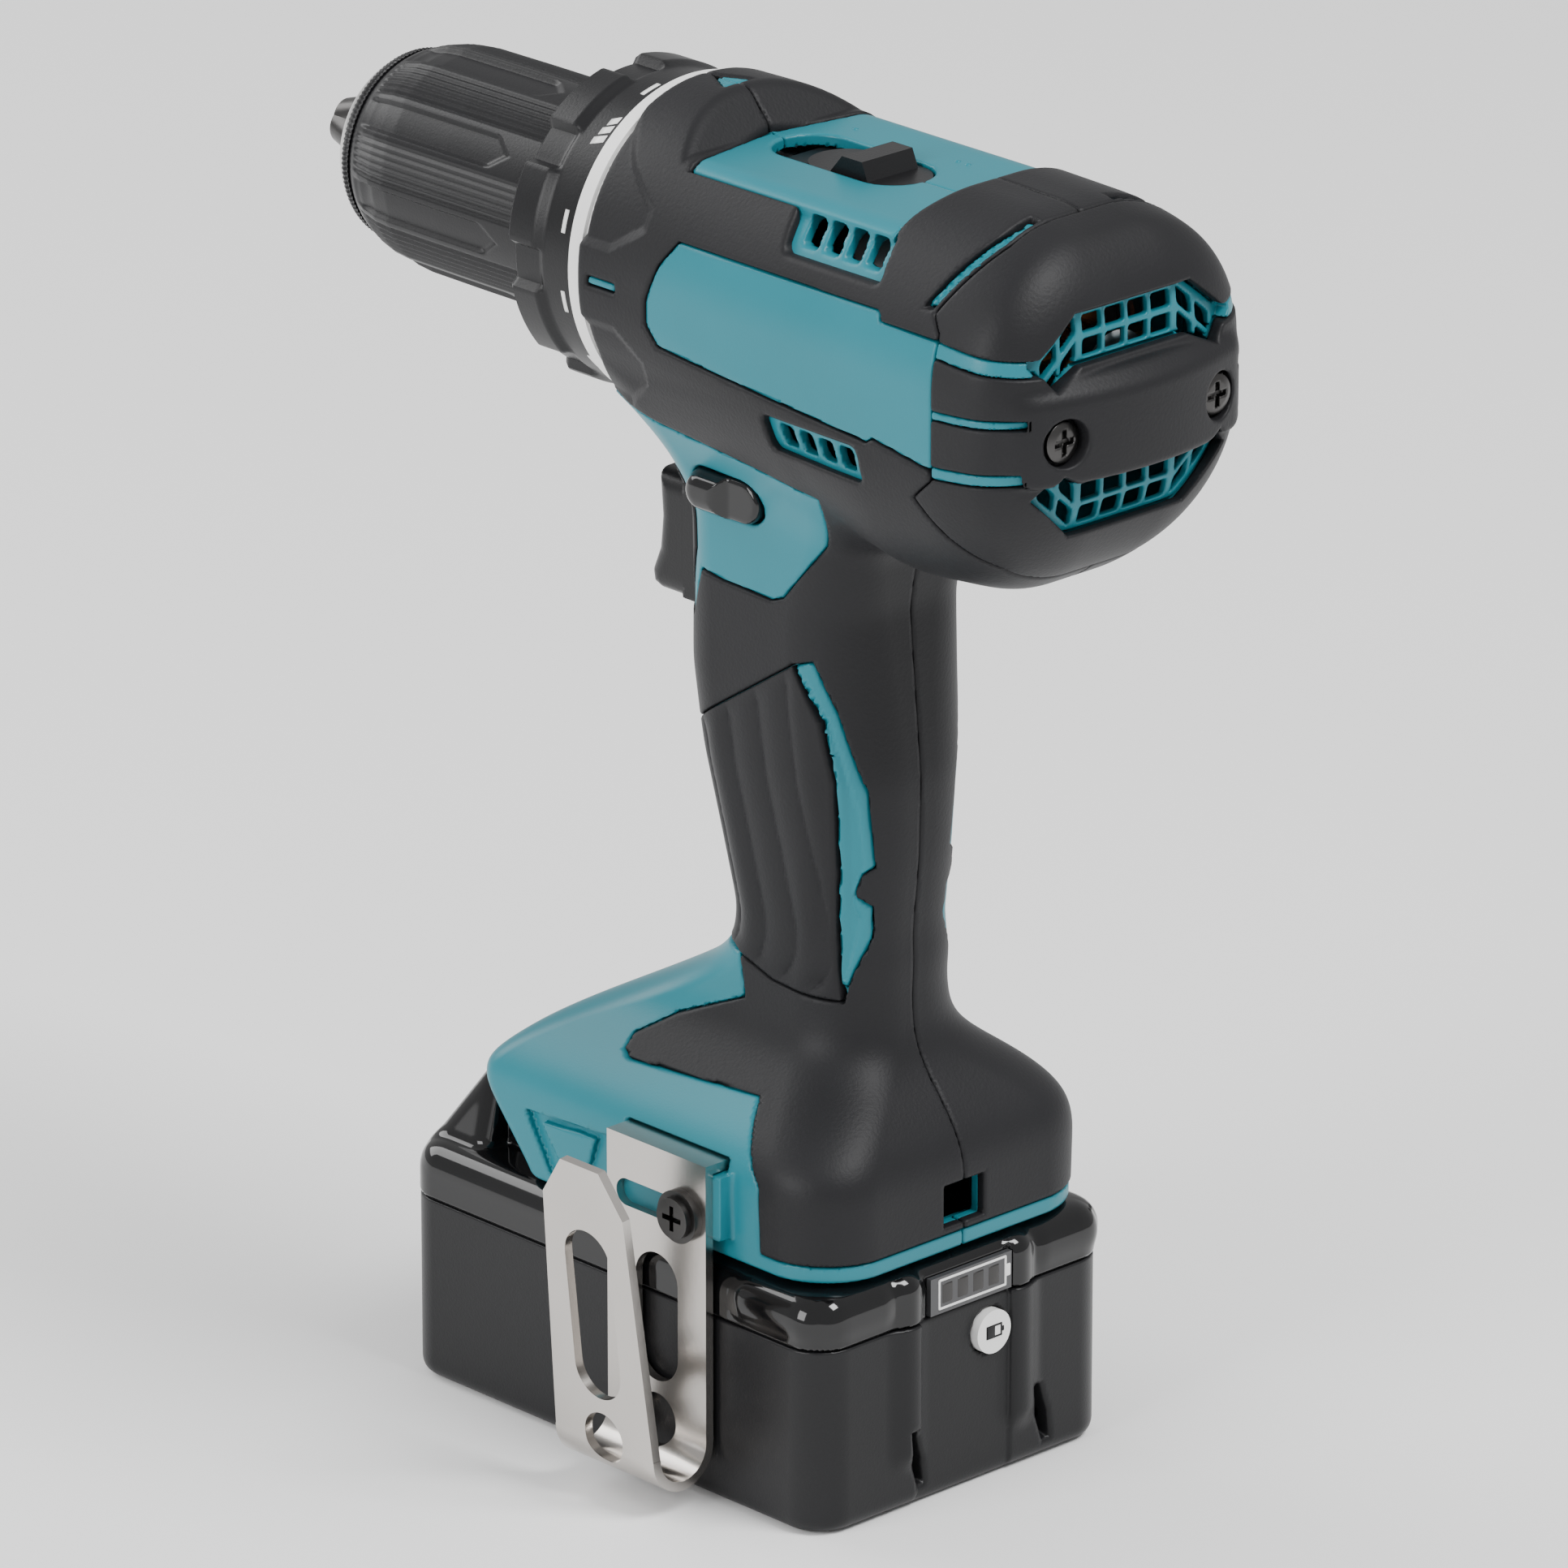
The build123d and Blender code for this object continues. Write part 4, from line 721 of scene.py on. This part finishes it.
def arc_patches(name, radius, patches, height=0.12):
    """Flat marks on a cylinder. Each is x0, x1, angle0, angle1 in degrees and a slant in degrees."""
    points, faces = [], []
    for x0, x1, start, end, slant in patches:
        first = len(points)
        for level in (radius - 0.4, radius + height):
            for x, turn in ((x0, 0.0), (x1, slant)):
                for n in range(7):
                    angle = math.radians(start + turn + (end - start) * n / 6)
                    points.append((x, level * math.cos(angle), SPINDLE_Z + level * math.sin(angle)))
        for n in range(6):
            low_near, low_far, high_near, high_far = [first + 7 * k + n for k in range(4)]
            faces.append((low_near, low_near + 1, low_far + 1, low_far))
            faces.append((high_near, high_far, high_far + 1, high_near + 1))
            faces.append((low_near, high_near, high_near + 1, low_near + 1))
            faces.append((low_far, low_far + 1, high_far + 1, high_far))
        for n in (0, 6):
            faces.append([first + 7 * k + n for k in ((0, 1, 3, 2) if n == 0 else (0, 2, 3, 1))])
    return mesh_object(name, np.array(points), np.array(faces))


def ring_mark_patches():
    """A dash for each setting of the clutch, and three slanted bars at the drilling setting."""
    patches = []
    for index in range(11):
        middle = -14.0 + 30.0 * (index if index < 2 else index + 1)
        patches.append((17.0, 17.9, middle - 4.2, middle + 4.2, 0.0))
    for bar in range(3):
        start = 47.0 + 4.4 * bar
        patches.append((16.2, 18.8 - 0.4 * bar, start, start + 3.0, -2.0))
    return patches


# ---- small pieces ----
def blocks(name, boxes, soften=0.25):
    """Several softened blocks as one mesh. Each is x0, x1, y0, y1, z0, z1."""
    points, faces = [], []
    for x0, x1, y0, y1, z0, z1 in boxes:
        first = len(points)
        points += [(x, y, z) for x in (x0, x1) for y in (y0, y1) for z in (z0, z1)]
        for face in ((0, 1, 3, 2), (4, 6, 7, 5), (0, 4, 5, 1), (2, 3, 7, 6), (0, 2, 6, 4), (1, 5, 7, 3)):
            faces.append([first + corner for corner in face])
    obj = mesh_object(name, np.array(points, dtype=float), np.array(faces))
    bevel = obj.modifiers.new("softened", "BEVEL")
    bevel.width = soften * MM
    bevel.segments = 3
    return obj


def gauge_outline():
    """Outline of a battery with a nub, round four charge segments."""
    rear, front = -58.2, -57.4
    return [(rear, front, -9.6, 7.6, 42.5, 43.0), (rear, front, -9.6, 7.6, 37.0, 37.5),
            (rear, front, 7.1, 7.6, 37.0, 43.0), (rear, front, -9.6, -9.1, 37.0, 43.0),
            (rear, front, -10.6, -9.4, 38.8, 41.2)]


def gauge_segments():
    return [(-58.15, -57.4, 4.0 - 3.9 * n, 6.6 - 3.9 * n, 38.1, 41.9) for n in range(4)]


def check_icon():
    rear, front = -58.55, -58.2
    return [(rear, front, -8.2, -4.2, 30.0, 30.4), (rear, front, -8.2, -4.2, 27.8, 28.2),
            (rear, front, -4.6, -4.2, 27.8, 30.4), (rear, front, -8.2, -7.8, 27.8, 30.4),
            (rear, front, -8.7, -8.1, 28.6, 29.6), (rear, front, -6.4, -4.2, 28.0, 30.2)]


def speed_dots():
    """One and two raised dots beside the ends of the speed selector's slot."""
    top = TOP_PANEL_Z - PANEL_STEP + 0.25
    places = [(-15.0, -12.5), (-41.0, -12.5), (-43.6, -12.5)]
    return [(x - 0.7, x + 0.7, y - 0.7, y + 0.7, top - 1.2, top) for x, y in places]


TRIGGER_OUTLINE = [(3, 180), (15.3, 180), (15.0, 176), (14.6, 171), (15.2, 165), (17.2, 160.2), (16.6, 157),
                   (14, 156), (3, 156)]


def trigger_field(x, y, z):
    blade = smooth_max(polygon(x, z, TRIGGER_OUTLINE) + 0.4, np.abs(y) - 9.2 + 0.0 * x, 4.0)
    stem = box_field(x, y, z, -6, 7, -7.3, 7.3, 159.2, 176.8)
    shoulder = box_field(x, y, z, -1.2, 7, -9.4, 9.4, 157, 179)
    return np.minimum(blade, np.minimum(stem, shoulder))


SPRING_X = (-15.2, -6.4)
SPRING_Z = 168.0


def coil_spring(name, turns=5, radius=2.5, wire=0.4):
    """The trigger's return spring, wound along X."""
    steps, sides = 36 * turns, 8
    points, faces = [], []
    for step in range(steps + 1):
        turn = 2 * math.pi * turns * step / steps
        along = SPRING_X[0] + wire + (SPRING_X[1] - SPRING_X[0] - 2 * wire) * step / steps
        for side in range(sides):
            angle = 2 * math.pi * side / sides
            reach = radius + wire * math.cos(angle)
            points.append((along + wire * math.sin(angle), reach * math.cos(turn),
                           SPRING_Z + reach * math.sin(turn)))
    for step in range(steps):
        for side in range(sides):
            beside = (side + 1) % sides
            faces.append((step * sides + side, step * sides + beside,
                          (step + 1) * sides + beside, (step + 1) * sides + side))
    last = steps * sides
    for first in (0, last):
        for half in ((0, 1, 2, 3), (0, 3, 4, 7), (4, 5, 6, 7)):
            faces.append([first + corner for corner in (half if first else half[::-1])])
    return mesh_object(name, np.array(points), np.array(faces))


def lever_field(x, y, z):
    """Rounded pill on each side with a raised front half, joined through the body."""
    side = np.abs(y)
    flat = lever_hole(x, y, z, 0.35)
    pill = smooth_max(flat, side - 21.3, 1.2)
    raised = smooth_max(np.maximum(flat + 0.5, -17.0 - x), side - 23.6, 3.0)
    field = smooth_min(pill, raised, 1.0)
    link = box_field(x, y, z, -18, -14, -20, 20, 183.5, 186.5)
    return np.minimum(np.maximum(field, 17.5 - side), link)


# ---- camera, floor and light ----
CAMERA_TURN = math.radians(46.40)
CAMERA_RISE = math.radians(20.66)
CAMERA_DISTANCE = 2.2456
CAMERA_TARGET = Vector((-0.01183, 0.00201, 0.12438))
CAMERA_LENS = 285.7


def build_camera():
    back = Vector((-math.sin(CAMERA_TURN) * math.cos(CAMERA_RISE),
                   math.cos(CAMERA_TURN) * math.cos(CAMERA_RISE), math.sin(CAMERA_RISE)))
    data = bpy.data.cameras.new("camera")
    data.lens = CAMERA_LENS
    data.sensor_width = 36.0
    camera = bpy.data.objects.new("camera", data)
    bpy.context.scene.collection.objects.link(camera)
    camera.location = CAMERA_TARGET + CAMERA_DISTANCE * back
    camera.rotation_euler = (-back).to_track_quat("-Z", "Y").to_euler()
    bpy.context.scene.camera = camera


def build_floor():
    bpy.ops.mesh.primitive_plane_add(size=30.0, location=(0, 0, -0.0002))
    floor = bpy.context.object
    floor.name = "floor"
    material = bpy.data.materials.new("floor")
    material.use_nodes = True
    shader = material.node_tree.nodes["Principled BSDF"]
    shader.inputs["Base Color"].default_value = (0.92, 0.92, 0.92, 1.0)
    shader.inputs["Roughness"].default_value = 0.9
    floor.data.materials.append(material)


def area_light(name, place, size, power):
    data = bpy.data.lights.new(name, "AREA")
    data.size = size
    data.energy = power
    light = bpy.data.objects.new(name, data)
    bpy.context.scene.collection.objects.link(light)
    light.location = place
    aim = Vector((0.0, 0.0, 0.13)) - light.location
    light.rotation_euler = aim.to_track_quat("-Z", "Y").to_euler()


def build_lights():
    world = bpy.data.worlds.new("studio")
    bpy.context.scene.world = world
    world.use_nodes = True
    world.node_tree.nodes["Background"].inputs["Color"].default_value = (1.0, 1.0, 1.0, 1.0)
    world.node_tree.nodes["Background"].inputs["Strength"].default_value = 0.62
    area_light("key", (-1.2, -0.3, 1.9), 0.8, 46.0)
    area_light("side", (0.1, 2.1, 1.0), 1.2, 34.0)
    area_light("front", (1.8, 0.4, 1.3), 1.2, 22.0)


# ---- materials ----
def new_material(name, colour, roughness, metallic=0.0):
    material = bpy.data.materials.new(name)
    material.use_nodes = True
    shader = material.node_tree.nodes["Principled BSDF"]
    shader.inputs["Base Color"].default_value = (*colour, 1.0)
    shader.inputs["Roughness"].default_value = roughness
    shader.inputs["Metallic"].default_value = metallic
    return material, shader


def add_grain(material, shader, colour, scale, bump, spread, roughness=None, roughness_spread=0.08):
    """Fine moulded grain: bump, with a slight change of colour and gloss over the surface."""
    nodes, links = material.node_tree.nodes, material.node_tree.links
    place = nodes.new("ShaderNodeTexCoord")
    fine = nodes.new("ShaderNodeTexNoise")
    fine.inputs["Scale"].default_value = scale
    fine.inputs["Detail"].default_value = 3.0
    links.new(place.outputs["Object"], fine.inputs["Vector"])
    relief = nodes.new("ShaderNodeBump")
    relief.inputs["Strength"].default_value = bump
    relief.inputs["Distance"].default_value = 0.0002
    links.new(fine.outputs["Fac"], relief.inputs["Height"])
    links.new(relief.outputs["Normal"], shader.inputs["Normal"])
    broad = nodes.new("ShaderNodeTexNoise")
    broad.inputs["Scale"].default_value = 35.0
    broad.inputs["Detail"].default_value = 4.0
    links.new(place.outputs["Object"], broad.inputs["Vector"])
    ramp = nodes.new("ShaderNodeValToRGB")
    ramp.color_ramp.elements[0].position = 0.3
    ramp.color_ramp.elements[1].position = 0.7
    ramp.color_ramp.elements[0].color = (*[c * (1 - spread) for c in colour], 1.0)
    ramp.color_ramp.elements[1].color = (*[min(c * (1 + spread), 1.0) for c in colour], 1.0)
    links.new(broad.outputs["Fac"], ramp.inputs["Fac"])
    links.new(ramp.outputs["Color"], shader.inputs["Base Color"])
    if roughness is not None:
        change = nodes.new("ShaderNodeMapRange")
        change.inputs["To Min"].default_value = roughness - roughness_spread
        change.inputs["To Max"].default_value = roughness + roughness_spread
        links.new(broad.outputs["Fac"], change.inputs["Value"])
        links.new(change.outputs["Result"], shader.inputs["Roughness"])


FINISHES = {
    # slot: colour, roughness, metallic, grain scale, bump, colour spread
    "teal_plastic": ((0.010, 0.170, 0.215), 0.38, 0.0, 2600.0, 0.10, 0.04),
    "black_rubber": ((0.012, 0.012, 0.0135), 0.50, 0.0, 1500.0, 0.30, 0.12),
    "black_plastic": ((0.008, 0.008, 0.009), 0.36, 0.0, 2200.0, 0.15, 0.10),
    "gloss_black_plastic": ((0.004, 0.004, 0.0045), 0.08, 0.0, 300.0, 0.01, 0.10),
    "white_plastic": ((0.82, 0.82, 0.81), 0.35, 0.0, 1800.0, 0.05, 0.02),
    "satin_steel": ((0.62, 0.61, 0.60), 0.30, 1.0, 900.0, 0.06, 0.05),
    "dark_steel": ((0.075, 0.073, 0.072), 0.34, 1.0, 900.0, 0.08, 0.20),
    "nickel": ((0.56, 0.53, 0.50), 0.22, 1.0, 500.0, 0.04, 0.04),
    "gear_steel": ((0.42, 0.42, 0.42), 0.32, 1.0, 900.0, 0.06, 0.08),
    "gear_case_alloy": ((0.55, 0.55, 0.56), 0.45, 1.0, 1200.0, 0.15, 0.06),
    "copper": ((0.60, 0.27, 0.13), 0.32, 1.0, 1500.0, 0.20, 0.10),
    "magnet": ((0.08, 0.08, 0.085), 0.55, 0.3, 1400.0, 0.20, 0.10),
    "carbon": ((0.03, 0.03, 0.03), 0.60, 0.0, 1400.0, 0.20, 0.15),
    "brass": ((0.70, 0.50, 0.22), 0.28, 1.0, 900.0, 0.06, 0.05),
    "cell_wrap": ((0.08, 0.30, 0.18), 0.35, 0.0, 800.0, 0.04, 0.05),
    "board": ((0.02, 0.16, 0.07), 0.40, 0.0, 1600.0, 0.15, 0.10),
    "clear_plastic": ((0.85, 0.88, 0.90), 0.10, 0.0, 500.0, 0.01, 0.02),
    "gauge": ((0.055, 0.055, 0.058), 0.30, 0.0, 900.0, 0.03, 0.05),
}


DULL_SLOTS = {"black_rubber": 0.22, "black_plastic": 0.28, "teal_plastic": 0.35}


def build_materials():
    materials = {}
    for slot, (colour, roughness, metallic, scale, bump, spread) in FINISHES.items():
        material, shader = new_material(slot, colour, roughness, metallic)
        shader.inputs["Specular IOR Level"].default_value = DULL_SLOTS.get(slot, 0.5)
        add_grain(material, shader, colour, scale, bump, spread, roughness, 0.05)
        materials[slot] = material
    materials["clear_plastic"].node_tree.nodes["Principled BSDF"].inputs["Alpha"].default_value = 0.5
    return materials


MATERIALS = build_materials()


def finish_piece(obj, slot, body, *nodes):
    """Gives a new piece its material and its body, and hides the CAD nodes that it stands for."""
    obj.data.materials.clear()
    obj.data.materials.append(MATERIALS[slot])
    if nodes:
        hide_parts(*nodes)
    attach(obj, body)


def dress_cad_nodes():
    """Every carried-over CAD node gets the material of its slot."""
    slots = {part["node"]: part["material_slot"] for part in frame["record"]["subparts"]}
    for node, obj in frame["nodes"].items():
        obj.data.materials.clear()
        obj.data.materials.append(MATERIALS[slots[node]])


def build_body():
    low = (-86, 0, 44)
    left, right = moulded("housing_skin_{}", housing_field, low, (39, 39, 256), STEP, mirror=True)
    finish_piece(left, "teal_plastic", "tool", "housing_left")
    finish_piece(right, "teal_plastic", "tool", "housing_right")
    low = (-90, 0, 44)
    left, right = moulded("overmould_skin_{}", overmould_field, low, (39, 37, 256), STEP, mirror=True)
    finish_piece(left, "black_rubber", "tool", "overmould_left")
    finish_piece(right, "black_rubber", "tool", "overmould_right")
    low, high = (-40, 0, 90), (8, 20, 158)
    for piece in moulded("grip_insert_{}", grip_insert_field, low, high, FINE_STEP, mirror=True):
        finish_piece(piece, "black_rubber", "tool")


def build_rear():
    low, high = (-105, -35, 176), (-72, 35, 254)
    cover = moulded("rear_cover_skin", rear_cover_field, low, high, FINE_STEP)[0]
    finish_piece(cover, "teal_plastic", "tool", "rear_cover")
    bumper = moulded("rear_bumper_skin", bumper_field, low, high, FINE_STEP)[0]
    finish_piece(bumper, "black_rubber", "tool", "rear_cover_bumper")
    low, high = (-101, -23, 211), (-83, 23, 220)
    screws = moulded("cover_screws_skin", cover_screw_field, low, high, FINE_STEP * 0.8)[0]
    finish_piece(screws, "dark_steel", "tool", "rear_cover_screws")


def build_battery():
    lower = moulded("battery_lower_skin", lower_case_field, (-60, -39, -1), (55, 39, 37), STEP)[0]
    finish_piece(lower, "black_plastic", "battery", "battery_lower_case")
    upper = moulded("battery_upper_skin", upper_case_field, (-60, -39, 35), (55, 39, 63), STEP)[0]
    finish_piece(upper, "gloss_black_plastic", "battery", "battery_upper_case")
    finish_piece(blocks("gauge_outline", gauge_outline()), "white_plastic", "battery")
    finish_piece(blocks("gauge_segments", gauge_segments()), "dark_steel", "battery")
    finish_piece(blocks("check_icon", check_icon()), "black_plastic", "check")


SLEEVE_OUTLINE = [(32.0, 17.6), (32.0, 20.6), (32.8, 21.4), (60.0, 21.4), (74.0, 21.3), (78.0, 20.9),
                  (82.0, 19.9), (85.0, 18.7), (86.2, 18.0), (86.2, 17.6), (75.0, 17.6), (75.0, 18.8),
                  (46.5, 18.8), (46.5, 17.6)]   # all four are (x, radius) about the spindle
BAND_OUTLINE = [(86.4, 17.4), (86.4, 18.2), (88.6, 17.8), (88.6, 17.4)]
NOSE_OUTLINE = [(88.7, 10.6), (88.7, 17.5), (90.0, 16.8), (91.5, 15.6), (93.2, 13.9), (95.0, 11.8),
                (96.4, 9.9), (97.0, 9.0), (97.0, 8.0)]
RING_OUTLINE = [(14.3, 27.0), (14.3, 28.9), (22.0, 29.0), (24.0, 30.0), (30.0, 30.0), (31.0, 29.2),
                (31.0, 22.0), (29.0, 22.0), (29.0, 27.0)]
MARKS_RADIUS = 28.93


def build_chuck():
    sleeve = turned("sleeve_skin", outline_through(SLEEVE_OUTLINE, 0.45), 576, sleeve_relief)
    finish_piece(sleeve, "black_plastic", "sleeve", "chuck_sleeve")
    band = turned("knurled_band", outline_through(BAND_OUTLINE, 0.3), 720, knurl_relief)
    finish_piece(band, "black_plastic", "chuck")
    nose = turned("nose_skin", outline_through(NOSE_OUTLINE, 0.6), 192)
    finish_piece(nose, "satin_steel", "chuck", "chuck_nose_ring")
    ring = turned("ring_skin", outline_through(RING_OUTLINE, 0.5), 360, ring_relief)
    finish_piece(ring, "black_plastic", "torque_ring_body", "torque_ring")
    marks = arc_patches("ring_marks", MARKS_RADIUS, ring_mark_patches())
    finish_piece(marks, "white_plastic", "torque_ring_body")


def build_controls():
    trigger = moulded("trigger_skin", trigger_field, (-6.5, -10, 155), (18.5, 10, 181), FINE_STEP)[0]
    finish_piece(trigger, "black_plastic", "trigger_body", "trigger")
    lever = moulded("lever_skin", lever_field, (-26, -24.5, 180), (-6, 24.5, 190), FINE_STEP)[0]
    finish_piece(lever, "gloss_black_plastic", "lever", "direction_lever")
    finish_piece(blocks("speed_dots", speed_dots(), 0.6), "teal_plastic", "tool")
    spring = coil_spring("trigger_spring_coil")
    finish_piece(spring, "gear_steel", "tool", "trigger_spring")
    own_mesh(spring)


build_camera()
build_floor()
build_lights()
dress_cad_nodes()
build_body()
build_rear()
build_battery()
build_chuck()
build_controls()
